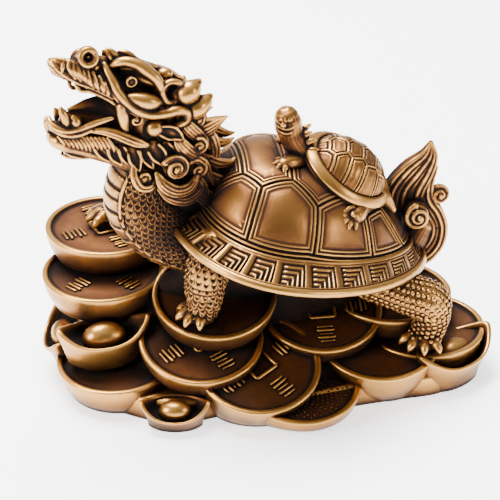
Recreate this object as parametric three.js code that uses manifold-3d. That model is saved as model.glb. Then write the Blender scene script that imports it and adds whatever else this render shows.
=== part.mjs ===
// Dragon turtle figure: one resin casting of a dragon-headed turtle that stands on a heap of cash coins
// and boat-shaped ingots and carries a small turtle on its shell.
// Millimetres, +Z up. +X runs from the head to the tail and the left flank faces -Y.
// The origin is the middle of the flat underside.

import * as THREE from "three";
import { mergeVertices } from "three/addons/utils/BufferGeometryUtils.js";
import Module from "manifold-3d";

const wasm = await Module();
wasm.setup();

// Coins: a shallow dish with a flat rim, a square frame round the middle and groups of strokes
const coin = { radius: 18, rim: 1.6, recess: 1.0, wall: 9, footShare: 0.84, sides: 20 };
const coinFrame = { side: 8, width: 1.1, height: 0.8 };
const coinStroke = { length: 4.6, width: 1.2, height: 0.7 };

// Where each coin's rim lies, how far it leans and which way, and whether its wall runs to the ground
const coins = {
  underFarForefoot: { at: [-44.2, 23.5, 38.2], lean: 0, toward: 0, turn: 20, face: true },
  secondAtFront: { at: [-46.2, 11.5, 29.8], lean: 1, toward: 200, turn: 40, face: true },
  underForefoot: { at: [-15.5, -5, 28.8], lean: 15, toward: 270, turn: 10 },
  belowForefoot: { at: [-20.5, -13, 19.5], lean: 16, toward: 270, turn: 30, face: true },
  frontCorner: { at: [-44, -6, 10.6], lean: 5, toward: 225, turn: 0, ground: true },
  nearFront: { at: [-5, -21.5, 14.5], lean: 20, toward: 270, turn: 35, ground: true, face: true },
  nearMiddle: { at: [6.5, -23, 9], lean: 12, toward: 285, turn: 0, ground: true },
  underBelly: { at: [16, -4, 21], lean: 15, toward: 270, turn: 0, face: true },
  underHindFoot: { at: [32, -12, 14], lean: 11, toward: 268, turn: 15, ground: true },
  rearCorner: { at: [47, -4.5, 12.6], lean: 0, toward: 0, turn: 25, ground: true },
  underTail: { at: [38.5, 4, 20], lean: 0, toward: 0, turn: 0 },
  farFront: { at: [-32, 22, 24], lean: 8, toward: 110, turn: 15 },
  farFrontLow: { at: [-30, 22, 11], lean: 10, toward: 95, turn: 50, ground: true },
  farMiddleHigh: { at: [2, 14, 24], lean: 16, toward: 90, turn: 20 },
  farMiddle: { at: [5, 22.5, 12], lean: 14, toward: 90, turn: 40, ground: true, face: true },
  farRear: { at: [32, 17, 11], lean: 10, toward: 75, turn: 5, ground: true },
};

// Ingots: a boat with two raised tips and a round boss in the middle
const ingot = { beam: 0.56, tipRise: 0.17, wall: 0.055, depth: 0.3, sides: 14 };
const ingots = {
  front: { at: [-48, -8, 19.8], length: 27.5, heading: 6, lean: 6, toward: 250, foot: 11 },
  small: { at: [-30, -29.5, 6.3], length: 20, heading: -8, lean: 16, toward: 262, ground: true },
  rear: { at: [53.4, -15.8, 9.8], length: 29, heading: 34, lean: 8, toward: 300, ground: true },
  corner: { at: [-59.6, 6.5, 12.6], length: 22, heading: 84, lean: 26, toward: 186, ground: true },
  far: { at: [-13, 33, 8], length: 21, heading: 6, lean: 16, toward: 96, ground: true },
};

// Heap of metal inside the coins: [x, y, z, half length, half width]
const heap = [
  [0, 0, 0, 48, 26],
  [0, 0, 9, 46, 22],
  [-3, 3, 15, 42, 15],
  [-6, 5, 24, 36, 11],
  [-1, 1, 33, 26, 9],
  [4, 0, 43, 24, 12],
];
const heapSides = 18;

// Foot of the heap on the ground, counter-clockwise from the front
const foot = {
  height: 7,
  steps: 44,
  outline: [
    [-58, 2], [-54.5, -7], [-47, -18], [-30, -28], [-15, -26], [1, -37], [17, -34], [24, -26], [36, -24.5],
    [50, -22], [61, -9], [61, 3], [56, 13], [46, 24], [32, 29], [18, 35], [2, 36], [-12, 40], [-28, 38],
    [-45, 31], [-56, 20], [-59, 11],
  ],
};

// Main shell: an egg-shaped dome on a sloping border, tilted up at the front
const shell = {
  at: [9.4, 0, 44.5],
  tilt: 13.9,
  halfLength: 39.1,
  halfWidth: 37.4,
  frontWidth: 0.23,
  height: 24.3,
  apexForward: 9.6,
  forwardPower: 1.2,
  fullness: 3,
  steepness: 0.7,
  rearFall: 0.75,
  sideLift: 0.93,
  borderShare: 0.72,
  rearBorderTrim: 0.15,
  borderRise: 5.15,
  lip: 1.3,
  underside: 4.5,
  hollow: 5,
  groove: 0.9,
  scuteGap: 0.9,
  longEdge: 7,
  sides: 30,
  rounds: 40,
};
const meander = { units: 24, shift: 0.62, margin: 0.04, outer: 0.945, height: 1, divider: 0.2 };

// Corners of the shell's plates, in the shell's own plan, near side only
const plateCorner = {
  backToRib1: [-22.6, -9.5],
  ribs12: [-18, -15.8],
  backToRib2: [-9.5, -13.8],
  ribs23: [-2.1, -19.5],
  backToRib3: [6.4, -13],
  ribs34: [13.8, -14.4],
  backToRib4: [19, -8.4],
};
const borderAngle = { front: 190, rib12: 232, rib23: 272, rib34: 308, rear: 336 };

// Neck, from the chest up to the skull: [x, y, z, radius]
const neck = [
  [-10, 0, 41, 8.6],
  [-20, 0, 44.6, 10],
  [-29, -0.3, 50.4, 11],
  [-34.6, -0.6, 57.6, 10.9],
  [-34.9, -0.8, 64, 10.2],
  [-32.5, -1, 70, 9.6],
  [-31, -1.5, 76, 9],
  [-32, -2, 84, 8],
];
const throatPlates = { count: 6, radii: [2.6, 5.2, 3.6], inset: 1.2, first: 0.3 };

// Head: every point is [forward, to the left, up] from the head's own centre.
// It is cocked: what lies on its far side is lower by farDrop.
const head = { at: [-33, -2, 84], yaw: 10, farDrop: 3.6 };
const tail = { thickness: 1.7, y: 2.5 };
const littleTurtle = {
  at: [23, -3.6, 65.6],
  pitch: 35,
  roll: 17,
  halfLength: 14.4,
  halfWidth: 12,
  height: 7.6,
  rimShare: 0.8,
  sides: 16,
  neckAndHead: [
    [13.6, -2.6, 68.6, 4.2], [10, -2.5, 72, 3.5], [7.8, -2.5, 75.4, 3], [6.6, -2.5, 78, 2.9], [6.1, -2.5, 80.4, 3.5],
    [5.8, -2.5, 82.9, 3.7], [5.5, -2.5, 85, 2.3],
  ],
  tail: [[29.4, -4.8, 60.4, 3], [33.4, -5.2, 56.4, 2.4], [36.2, -5.4, 52.2, 1]],
  limbs: [
    [[15, -7, 68.8, 2.8], [10.2, -7.2, 71, 2.1], [5.4, -7.6, 71.6, 2.7], [2.6, -8, 70.6, 1.9]],
    [[17, 2.5, 70.6, 2.6], [12.5, 4.4, 71.4, 2.2], [8.6, 5.8, 71, 2.5], [5.6, 6.4, 70.6, 1.7]],
    [[27, -10.4, 61, 3.4], [25, -14, 59.8, 3.4], [22.8, -16.4, 58.6, 3.2], [20.2, -18.8, 57.4, 2]],
    [[28, 4, 59.6, 3], [27.4, 8.6, 58.6, 3], [26, 11, 57, 2.8], [24, 12.6, 56.4, 1.8]],
  ],
};

// How far the joined surface is thinned out
const thinning = { triangles: 9900, firstCost: 1e-6, lastCost: 2, leastArea: 0.004, mostTurn: 0.35 };

const rad = THREE.MathUtils.degToRad;
const vec = (x, y, z) => new THREE.Vector3(x, y, z);
const flip = ([x, y, ...rest]) => [x, -y, ...rest];

// A closed solid from a geometry, with its faces turned outwards
function toSolid(geometry) {
  geometry.deleteAttribute("normal");
  geometry.deleteAttribute("uv");
  const merged = mergeVertices(geometry, 1e-5);
  const triVerts = Uint32Array.from(merged.index.array);
  const vertProperties = Float32Array.from(merged.attributes.position.array);
  const corner = (i) => vec().fromArray(vertProperties, triVerts[i] * 3);
  let volume = 0;
  for (let i = 0; i < triVerts.length; i += 3) {
    volume += corner(i).dot(corner(i + 1).cross(corner(i + 2)));
  }
  if (volume < 0) triVerts.reverse();
  return new wasm.Manifold(new wasm.Mesh({ numProp: 3, vertProperties, triVerts }));
}

// A solid skin over rings that all have the same number of points, closed by a fan at each end
function loft(rings) {
  const sides = rings[0].length;
  const points = rings.flat();
  const index = [];
  for (let r = 0; r < rings.length - 1; r++) {
    for (let s = 0; s < sides; s++) {
      const a = r * sides + s;
      const b = r * sides + ((s + 1) % sides);
      index.push(a, b, b + sides, a, b + sides, a + sides);
    }
  }
  [0, rings.length - 1].forEach((r) => {
    const hub = points.length;
    points.push(rings[r].reduce((sum, p) => sum.add(p), vec(0, 0, 0)).divideScalar(sides));
    for (let s = 0; s < sides; s++) {
      const a = r * sides + s;
      const b = r * sides + ((s + 1) % sides);
      index.push(...(r === 0 ? [b, a, hub] : [a, b, hub]));
    }
  });
  const geometry = new THREE.BufferGeometry().setFromPoints(points);
  geometry.setIndex(index);
  return toSolid(geometry);
}

function ring(sides, pointAt) {
  return Array.from({ length: sides }, (_, i) => pointAt((i / sides) * 2 * Math.PI));
}

// A tapered strand along stations [x, y, z, radius]; flat squashes it in the direction of `face`
function strand(stations, { sides = 5, flat = 1, face = vec(0, 0, 1) } = {}) {
  const curve = new THREE.CatmullRomCurve3(stations.map(([x, y, z]) => vec(x, y, z)), false, "centripetal");
  let across = face;
  return loft(stations.map(([x, y, z, radius], i) => {
    const ahead = curve.getTangent(i / (stations.length - 1));
    across = across.clone().addScaledVector(ahead, -across.dot(ahead)).normalize();
    const aside = across.clone().cross(ahead);
    return ring(sides, (angle) =>
      vec(x, y, z)
        .addScaledVector(across, Math.cos(angle) * radius * flat)
        .addScaledVector(aside, Math.sin(angle) * radius));
  }));
}

// An egg-shaped lump with radii along its own three axes
function lump([x, y, z], [rx, ry, rz], turn = new THREE.Euler(), detail = 8) {
  const geometry = new THREE.SphereGeometry(1, detail, Math.max(4, Math.round(detail * 0.6)));
  geometry.scale(rx, ry, rz);
  geometry.applyMatrix4(new THREE.Matrix4().makeRotationFromEuler(turn));
  geometry.translate(x, y, z);
  return toSolid(geometry);
}

// The frame of something that lies at a point, leans one way and is turned in its own plane
function restingFrame({ at, lean, toward, turn = 0 }) {
  const axis = vec(-Math.sin(rad(toward)), Math.cos(rad(toward)), 0);
  const frame = new THREE.Matrix4().makeRotationAxis(axis, rad(lean));
  frame.multiply(new THREE.Matrix4().makeRotationZ(rad(turn)));
  return frame.setPosition(...at);
}

function slab(frame, x, y, z, length, width, height, turn = 0) {
  const geometry = new THREE.BoxGeometry(length, width, height);
  geometry.rotateZ(turn);
  geometry.translate(x, y, z);
  geometry.applyMatrix4(frame);
  return toSolid(geometry);
}

// Coins

function coinSolids(place) {
  const frame = restingFrame(place);
  const at = (radius, depth) => ring(coin.sides, (angle) =>
    vec(Math.cos(angle) * radius, Math.sin(angle) * radius, -depth).applyMatrix4(frame));
  const foot = at(coin.radius * coin.footShare, coin.wall);
  const belly = at(coin.radius * 0.97, coin.wall * 0.45);
  if (place.ground) {
    foot.forEach((p) => p.setZ(0));
  }
  const dish = loft([
    foot,
    belly,
    at(coin.radius, 0),
    at(coin.radius - coin.rim, 0),
    at(coin.radius - coin.rim - 0.3, coin.recess),
  ]);
  return place.face ? [dish, squareFrame(frame), ...coinStrokes(frame)] : [dish];
}

// Sunk a little into the dish, so that the two are one body
const rooted = (height) => ({ z: -coin.recess + height / 2 - 0.2, height: height + 0.4 });

function squareFrame(frame) {
  const { side, width, height } = coinFrame;
  const root = rooted(height);
  const square = (half) =>
    [[-1, -1], [1, -1], [1, 1], [-1, 1]].map(([x, y]) => new THREE.Vector2(x * half, y * half));
  const outline = new THREE.Shape(square(side / 2 + width));
  outline.holes.push(new THREE.Path(square(side / 2)));
  const geometry = new THREE.ExtrudeGeometry(outline, { depth: root.height, bevelEnabled: false, curveSegments: 1 });
  geometry.translate(0, 0, root.z - root.height / 2);
  geometry.applyMatrix4(frame);
  return toSolid(geometry);
}

// One stroke on each side of the square
function coinStrokes(frame) {
  const { length, width, height } = coinStroke;
  const root = rooted(height);
  const reach = (coinFrame.side / 2 + coinFrame.width + coin.radius - coin.rim) / 2;
  return [0, 1, 2, 3].map((quarter) => {
    const turn = (quarter * Math.PI) / 2;
    return slab(frame, Math.cos(turn) * reach, Math.sin(turn) * reach, root.z, width, length, root.height, turn);
  });
}

// Ingots

function ingotSolid(place) {
  const { length } = place;
  const frame = restingFrame({ ...place, turn: place.heading });
  const half = length / 2;
  const beam = half * ingot.beam;
  const outline = (share, drop, rise) => ring(ingot.sides, (angle) => {
    const x = Math.cos(angle);
    const pinch = 1 - 0.35 * x ** 4;
    const lift = rise * length * ingot.tipRise * Math.abs(x) ** 3;
    return vec(x * half * share, Math.sin(angle) * beam * share * pinch, lift - drop).applyMatrix4(frame);
  });
  const depth = place.foot ?? length * ingot.depth;
  const foot = outline(place.ground ? 0.78 : 0.5, depth, 0);
  if (place.ground) foot.forEach((p) => p.setZ(0));
  const wall = ingot.wall * 2;
  const hull = loft([
    foot,
    outline(0.86, depth * 0.45, 0.3),
    outline(1, 0, 1),
    outline(1 - wall, 0, 1),
    outline(0.72, length * 0.1, 0.35),
  ]);
  const boss = lump([0, 0, 0], [length * 0.2, beam * 0.52, length * 0.16], undefined, 10);
  const sunk = new THREE.Matrix4().makeTranslation(0, 0, -length * 0.05).premultiply(frame);
  return [hull, boss.transform(sunk.elements)];
}

// Main shell

const shellFrame = new THREE.Matrix4().makeRotationY(rad(shell.tilt)).setPosition(...shell.at);
const onShellFrame = (x, y, z) => vec(x, y, z).applyMatrix4(shellFrame);

// The plan is wider towards the front, and the apex lies forward of its middle
const halfWidthAt = (angle) => shell.halfWidth * (1 - shell.frontWidth * Math.cos(angle));
const apexShift = (share) => shell.apexForward * (1 - share ** shell.forwardPower);

function shellPlan(share, angle) {
  return {
    x: shell.halfLength * share * Math.cos(angle) - apexShift(share),
    y: halfWidthAt(angle) * share * Math.sin(angle),
  };
}

// The border starts a little further out at the rear, where it is narrower
const borderStart = (angle) => shell.borderShare + shell.rearBorderTrim * Math.max(Math.cos(angle), 0);

function shellHeight(share, angle) {
  const { borderRise, height, sideLift, fullness, steepness, rearFall } = shell;
  const start = borderStart(angle);
  const k = Math.min(share / start, 1);
  const fall = steepness * (1 + rearFall * Math.max(Math.cos(angle), 0) * k);
  const dome = borderRise + (height - borderRise) * (1 - k ** fullness) ** fall;
  const border = borderRise * (1 - (share - start) / (1 - start));
  return (share < start ? dome : border) + sideLift * (share * Math.sin(angle)) ** 2;
}

// The share of the way out from the apex, and the angle round it, at a point of the shell's plan
function shellPolar(x, y) {
  let share = 0.5;
  let angle = Math.atan2(y, x);
  for (let i = 0; i < shell.rounds; i++) {
    const along = (x + apexShift(share)) / shell.halfLength;
    const across = y / halfWidthAt(angle);
    share = (share + Math.min(1, Math.hypot(along, across))) / 2;
    angle = Math.atan2(across, along);
  }
  return { share, angle };
}

function onShell(x, y, lift = 0) {
  const { share, angle } = shellPolar(x, y);
  return onShellFrame(x, y, shellHeight(share, angle) + lift);
}

function shellPoint(share, angle, lift) {
  const { x, y } = shellPlan(share, angle);
  return onShellFrame(x, y, shellHeight(share, angle) + lift);
}

function shellBody() {
  const { sides, groove, lip, underside, hollow } = shell;
  const atShare = (share, lift) => ring(sides, (angle) => shellPoint(share, angle, lift));
  const ofDome = (share) => ring(sides, (angle) => shellPoint(borderStart(angle) * share, angle, -groove));
  return loft([
    atShare(0.5, -underside - hollow * 2),
    atShare(0.85, -underside - hollow * 0.4),
    atShare(0.98, -lip),
    atShare(1, 0),
    atShare(0.985, lip * 0.7),
    atShare(0.955, 0),
    ...[0.98, 0.8, 0.55, 0.25].map(ofDome),
  ]);
}

// Each plate is a pillow over a polygon of the shell's plan, drawn in by half the gap between plates
function plateSolid(corners) {
  const share = 1 / corners.length;
  const middle = corners.reduce((sum, [x, y]) => [sum[0] + x * share, sum[1] + y * share], [0, 0]);
  const outline = corners.flatMap(([x, y], i) => {
    const [nextX, nextY] = corners[(i + 1) % corners.length];
    const long = Math.hypot(nextX - x, nextY - y) > shell.longEdge;
    return long ? [[x, y], [(x + nextX) / 2, (y + nextY) / 2]] : [[x, y]];
  });
  const level = (scale, lift) => outline.map(([x, y]) => {
    const reach = Math.hypot(x - middle[0], y - middle[1]);
    const keep = (scale * (reach - shell.scuteGap)) / reach;
    return onShell(middle[0] + (x - middle[0]) * keep, middle[1] + (y - middle[1]) * keep, lift);
  });
  return loft([level(1, -shell.groove * 2), level(1, 0.1), level(0.6, 0.4)]);
}

function plateSolids() {
  const onBorder = (degrees) => {
    const angle = rad(degrees);
    const { x, y } = shellPlan(borderStart(angle) * 0.99, angle);
    return [x, y];
  };
  const c = plateCorner;
  const b = borderAngle;
  const half = (from, to) => onBorder((from + to) / 2);
  const ribs = [
    [onBorder(b.front), c.backToRib1, c.ribs12, onBorder(b.rib12), half(b.rib12, b.front)],
    [c.ribs12, c.backToRib2, c.ribs23, onBorder(b.rib23), half(b.rib23, b.rib12), onBorder(b.rib12)],
    [c.ribs23, c.backToRib3, c.ribs34, onBorder(b.rib34), half(b.rib34, b.rib23), onBorder(b.rib23)],
    [c.ribs34, c.backToRib4, onBorder(b.rear), onBorder(b.rib34)],
  ];
  const back = [
    [onBorder(b.front), c.backToRib1, flip(c.backToRib1), flip(onBorder(b.front)), onBorder(180)],
    [c.backToRib1, c.ribs12, c.backToRib2, flip(c.backToRib2), flip(c.ribs12), flip(c.backToRib1)],
    [c.backToRib2, c.ribs23, c.backToRib3, flip(c.backToRib3), flip(c.ribs23), flip(c.backToRib2)],
    [c.backToRib3, c.ribs34, c.backToRib4, flip(c.backToRib4), flip(c.ribs34), flip(c.backToRib3)],
    [c.backToRib4, onBorder(b.rear), onBorder(0), flip(onBorder(b.rear)), flip(c.backToRib4)],
  ];
  return [...ribs, ...ribs.map((corners) => corners.map(flip)), ...back].map(plateSolid);
}

// A bar that starts at an angle on the rim runs square to the border: the angle where it meets the dome
const inwards = { long: 0.6, rearLess: 0.35, most: 22, rounds: 20 };
function innerEnd(angle) {
  const from = shellPlan(meander.outer, angle);
  const heading = new THREE.Vector2(
    -(inwards.long - inwards.rearLess * Math.cos(angle)) * Math.cos(angle), -Math.sin(angle)).normalize();
  let near = 0;
  let far = inwards.most;
  let found = angle;
  for (let i = 0; i < inwards.rounds; i++) {
    const half = (near + far) / 2;
    const { share, angle: reached } = shellPolar(from.x + heading.x * half, from.y + heading.y * half);
    if (share > borderStart(reached) + meander.margin) near = half;
    else far = half;
    found = reached;
  }
  return angle + THREE.MathUtils.euclideanModulo(found - angle + Math.PI, 2 * Math.PI) - Math.PI;
}

// The border's meander: in each unit a divider across the border and a corner stroke inside it
function meanderSolids() {
  const { units, shift, margin, outer, height, divider } = meander;
  const { lerp } = THREE.MathUtils;
  const step = (2 * Math.PI) / units;
  const solids = [];
  for (let i = 0; i < units; i++) {
    const bar = (corners) => {
      const level = (lift) => corners.map(([across, along]) => {
        const angle = (i + shift + along) * step;
        const inward = innerEnd(angle);
        return shellPoint(lerp(borderStart(inward) + margin, outer, across), lerp(inward, angle, across), lift);
      });
      return loft([level(-height), level(height)]);
    };
    solids.push(bar([[0, 0], [0, divider], [1, divider], [1, 0]]));
    solids.push(bar([[0.14, 0.36], [0.14, 0.88], [1, 0.88], [1, 0.68], [0.36, 0.68], [0.36, 0.36]]));
  }
  return solids;
}

// Neck and throat

function neckSolids() {
  const { count, radii, inset, first } = throatPlates;
  const front = neck.slice(1).map(([x, y, z, r]) => vec(x - r, y, z - r / 8));
  const curve = new THREE.CatmullRomCurve3(front, false, "centripetal");
  const plates = Array.from({ length: count }, (_, i) => {
    const share = (i + first) / count;
    const { x, y, z } = curve.getPoint(share);
    const ahead = curve.getTangent(share);
    const lean = Math.PI / 2 - Math.atan2(ahead.z, ahead.x);
    return lump([x + inset * 1.7, y, z], radii, new THREE.Euler(0, lean, 0), 6);
  });
  return [strand(neck, { sides: 10 }), ...plates];
}

// Legs: each is a strand from a hip under the shell to a foot on its coin, with toes and claws

// A toe and its claw: how far out as a share of the foot's reach, how high, and how thick
const toe = [[0.2, 0.6, 2], [0.75, 0.6, 1.7], [1.15, -0.9, 0.4]];

const onCoin = (place, x, y, lift) => {
  const frame = restingFrame({ ...place, turn: 0 });
  return vec(x, y, lift - coin.recess).applyMatrix4(frame);
};

function legSolids({ joints, foot, sole, heading, toes, spread, reach }) {
  const leg = strand([...joints, [...foot.toArray(), sole]], { sides: 7 });
  const claws = Array.from({ length: toes }, (_, i) => {
    const turn = rad(heading + spread * (i / (toes - 1) - 0.5));
    const out = vec(Math.cos(turn), Math.sin(turn), 0);
    return strand(toe.map(([share, lift, radius]) => {
      const { x, y, z } = foot.clone().addScaledVector(out, reach * share);
      return [x, y, z + lift, radius];
    }), { sides: 4 });
  });
  const pad = lump(foot.toArray(), [sole * 1.05, sole * 1.05, sole * 0.85]);
  return [leg, pad, ...claws];
}

function allLegs() {
  const nearFore = {
    joints: [[-16.6, -15, 50, 6.4], [-19.4, -17, 40.4, 5.6], [-19.6, -15.5, 33, 4.6]],
    foot: onCoin(coins.underForefoot, -4.6, -8.8, 2.6), sole: 4, heading: 205, toes: 4, spread: 105, reach: 7,
  };
  const farFore = {
    joints: [[-13, 15.5, 49.5, 7.2], [-26, 20, 47, 6.6], [-37, 22.5, 44, 4.8]],
    foot: onCoin(coins.underFarForefoot, 2, 1, 3.2), sole: 4.2, heading: 185, toes: 3, spread: 70, reach: 7,
  };
  const nearHind = {
    joints: [[27, -13.6, 36.5, 6.4], [38, -16.4, 31.4, 5.6], [45.2, -17, 28, 5.8], [46, -17, 22.8, 5]],
    foot: onCoin(coins.underHindFoot, 11.5, -4.5, 3.6), sole: 4.2, heading: 205, toes: 4, spread: 100, reach: 7,
  };
  const farHind = {
    joints: [[27, 13.6, 36.5, 6.4], [38, 16.4, 31.4, 5.6], [44, 17, 28.4, 5.8], [42.6, 17, 23.6, 5]],
    foot: onCoin(coins.farRear, 8, 0.5, 5), sole: 4.2, heading: 150, toes: 3, spread: 80, reach: 7,
  };
  return [nearFore, farFore, nearHind, farHind].flatMap(legSolids);
}

// Head

const headTurn = rad(head.yaw);
function onHead(forward, left, up) {
  return [
    head.at[0] - Math.cos(headTurn) * forward + Math.sin(headTurn) * left,
    head.at[1] - Math.sin(headTurn) * forward - Math.cos(headTurn) * left,
    head.at[2] + up,
  ];
}
const headStations = (points) => points.map(([u, w, v, r]) => [...onHead(u, w, v), r]);
const sideways = vec(...onHead(0, 1, 0)).sub(vec(...head.at));

// Middle forms, each wider than it is thick
const headTrunk = [
  {
    points: [[-4, 0, 6, 8], [3, 0, 10.5, 8.6], [9, 0, 14.4, 7.2], [15, 0, 17.4, 5.8], [20.5, 0, 19, 4.6],
      [25, 0, 20.8, 2.2]],
    flat: 0.45,
  },
  {
    points: [[-4, 0, -2, 8.5], [3, 0, -2.6, 9], [10, 0, -0.8, 7.8], [17, 0, 0.2, 6.6], [24, 0, 1, 5],
      [27.4, 0, 2.8, 2.2]],
    flat: 0.42,
  },
  { points: [[-3, 0, 0, 8.6], [-3.5, 0, 7.4, 8.2], [1, 0, 12, 6]], flat: 0.95 },
  { points: [[3, 0, -1, 8.6], [2.2, 0, 6.5, 8.4], [4, 0, 12.5, 6.6]], flat: 0.8 },
  { points: [[4, 0, 4, 5], [10, 0, 6, 4.4], [14, 0, 7, 3], [17, 0, 7.4, 2], [22.4, 0, 6.9, 0.6]], flat: 0.85 },
  { points: [[4, 0, 11, 6], [10, 0, 12.2, 4.6], [15, 0, 13.6, 2.8], [18, 0, 14.8, 1.4]], flat: 0.85 },
  { points: [[24, 0, -2, 5], [17, 0, -4.4, 6], [10, 0, -7.4, 6.4], [4, 0, -11, 6.4]], flat: 0.6 },
];

// Ridges, lips, brows, teeth, ears and spikes of one side; the other side mirrors them
const headSide = {
  upperLip: [[26.4, 1.5, 22.6, 0.8], [24.6, 4, 20.2, 1.1], [20.6, 5.4, 16.9, 1.1], [14.5, 6.6, 13.1, 1.2],
    [10, 8, 9.6, 1.2]],
  snoutFlute: [[26.2, 1, 22.6, 0.9], [22, 3.4, 20.6, 1.5], [18, 4.8, 18.2, 1.6], [13.5, 5.6, 15.6, 1.3]],
  cheekBand: [[12.8, 3.6, 21, 1], [11.2, 6.6, 15.8, 1.4], [8.8, 8.9, 11.7, 1.5], [4, 10.5, 8, 1.4],
    [-2, 11, 6.4, 1.3], [-8.2, 10.6, 5.6, 1.1]],
  brow: [[10.6, 4, 20.4, 0.9], [6.4, 5.4, 21.2, 1.4], [1.8, 7.2, 18.6, 1.6], [-1.3, 8.8, 13.6, 1.1]],
  cheek: [[8.2, 8.2, 12.3, 0.6], [4.4, 8.8, 11.4, 2], [0.6, 9, 10.1, 1.9], [-2, 8.8, 9.6, 0.8]],
  earLobeHigh: [[-3.6, 8.2, 10.8, 2.4], [-8.4, 8.2, 12, 2.7], [-12.4, 7.8, 12.8, 1]],
  earLobeLow: [[-7.4, 8.2, 6.4, 2.3], [-11.8, 8.2, 7.2, 2.7], [-15.9, 7.8, 7.7, 1]],
  backSpike: [[-10, 8, -0.8, 2.8], [-16, 7.5, 0.2, 2.3], [-20.6, 7, 1.5, 0.4]],
  lowerLip: [[27.8, 1.2, 4.4, 0.9], [25, 4.8, 2.8, 1.1], [19, 6.4, 3.6, 1.2], [11.6, 8, 5.2, 1.1],
    [6.5, 8.6, 5.2, 1]],
  jawBand: [[25.6, 3.8, 0.8, 1.1], [17.3, 6.8, 2, 1.6], [9.9, 8.6, 1.2, 2], [3.2, 9.6, -1.6, 1.8]],
  frontTooth: [[23.6, 3.7, 3, 1.4], [24.3, 3.7, 6.4, 1.4], [25.2, 3.6, 9.4, 0.5]],
  sideTooth: [[20.6, 4.6, 2.8, 1.3], [21.7, 4.5, 5.2, 1.3], [23, 4.3, 7.6, 0.5]],
  fang: [[9.8, 8.2, 9.6, 1.6], [9.5, 8.5, 6, 1.4], [8.2, 8.5, 1.9, 0.4]],
  jawHinge: [[6.4, 8.8, 4.8, 1.6], [1.4, 9.6, 3, 2.4], [-3.4, 9.2, 3.6, 1.8]],
  maneSpikeHigh: [[-1, 9.6, 2.4, 2.2], [-3.6, 10.8, 0.4, 1.7], [-6, 11.4, -1.6, 0.5]],
  maneSpikeMid: [[2, 9.4, -2.6, 2.2], [-0.6, 10.6, -4.6, 1.8], [-3, 11, -6.6, 0.5]],
  beardSpike1: [[6.6, 7, -3.6, 2.6], [5.8, 9.4, -6.4, 1.7], [5, 9.6, -9, 0.5]],
  beardSpike2: [[11.2, 5.4, -3, 2.8], [10.9, 8.4, -5.6, 1.6], [10.2, 8.6, -8, 0.5]],
  beardSpike3: [[15.6, 4.6, -2.6, 2.6], [15.4, 7.2, -4.8, 1.4], [15, 7.4, -6.8, 0.4]],
  beardRib1: [[24.2, 4, -0.8, 0.9], [23.2, 3.8, -3.6, 1.1], [20.6, 2.4, -6.2, 0.8]],
  beardRib2: [[20.4, 5.4, -0.8, 0.9], [19.6, 5.2, -3.8, 1.1], [17.4, 3.6, -6.8, 0.8]],
};
const headLumps = {
  nostril: { at: [16.6, 3.4, 22.2], radii: [3, 2.2, 3.4] },
  eye: { at: [6.4, 6.6, 16.2], radii: [2, 1.8, 2] },
  forehead: { at: [9.4, 1.6, 20.2], radii: [2.4, 2, 3.4] },
  crest: { at: [5, 2.2, 18.6], radii: [3.6, 2.6, 2.4] },
  crestBack: { at: [-2.4, 4, 12.6], radii: [3.6, 3.6, 3] },
  hornStub: { at: [-3.7, 4.8, 15.8], radii: [2.4, 2, 2] },
  earBump: { at: [-4.6, 8.6, 11.8], radii: [3, 2, 3] },
};

function headSolids() {
  const solids = headTrunk.map(({ points, flat }) =>
    strand(headStations(points), { sides: 8, flat, face: vec(0, 0, 1) }));
  [1, -1].forEach((side) => {
    const drop = side < 0 ? head.farDrop : 0;
    Object.values(headSide).forEach((points) => {
      const stations = headStations(points.map(([u, w, v, r]) => [u, w * side, v - drop, r]));
      solids.push(strand(stations, { sides: 4, face: sideways }));
    });
    Object.values(headLumps).forEach(({ at: [u, w, v], radii }) => {
      solids.push(lump(onHead(u, w * side, v - drop), radii, new THREE.Euler(0, 0, headTurn), 6));
    });
  });
  return solids;
}

// Mane: a mass behind the head, covered with curls that wind in a plane facing outwards
const maneMass = [[-3, 0, 4, 8.5], [-8, 0, -3, 10.5], [-9, 0, -12, 11.5], [-9.5, 0, -20, 10.5], [-12, 0, -28, 6]];
const maneCurl = { turns: 1.15, steps: 6 };
const maneCurls = [
  [-11.7, 8.2, 2.3, 3.2], [-11.4, 10, -4.6, 3.6], [-5.1, 10, -11, 4.8], [4.2, 8.2, -12.2, 3.8],
  [-12.4, 9.6, -12.8, 3.6],
];

function curlSolid(u, w, v, size) {
  const { turns, steps } = maneCurl;
  const stations = [];
  for (let i = 0; i <= steps; i++) {
    const share = i / steps;
    const angle = share * turns * 2 * Math.PI;
    const reach = size * (0.95 - 0.8 * share);
    const out = Math.sign(w) * size * (0.2 + 0.35 * share); // the middle stands proud
    const place = onHead(u + Math.cos(angle) * reach, w + out, v + Math.sin(angle) * reach);
    stations.push([...place, size * (0.3 - 0.08 * share)]);
  }
  return strand(stations, { sides: 4, face: sideways });
}

function maneSolids() {
  const mass = strand(headStations(maneMass), { sides: 10, face: sideways });
  const curls = maneCurls.flatMap(([u, w, v, size]) => [1, -1].map((side) => curlSolid(u, w * side, v, size)));
  return [mass, ...curls];
}

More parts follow.
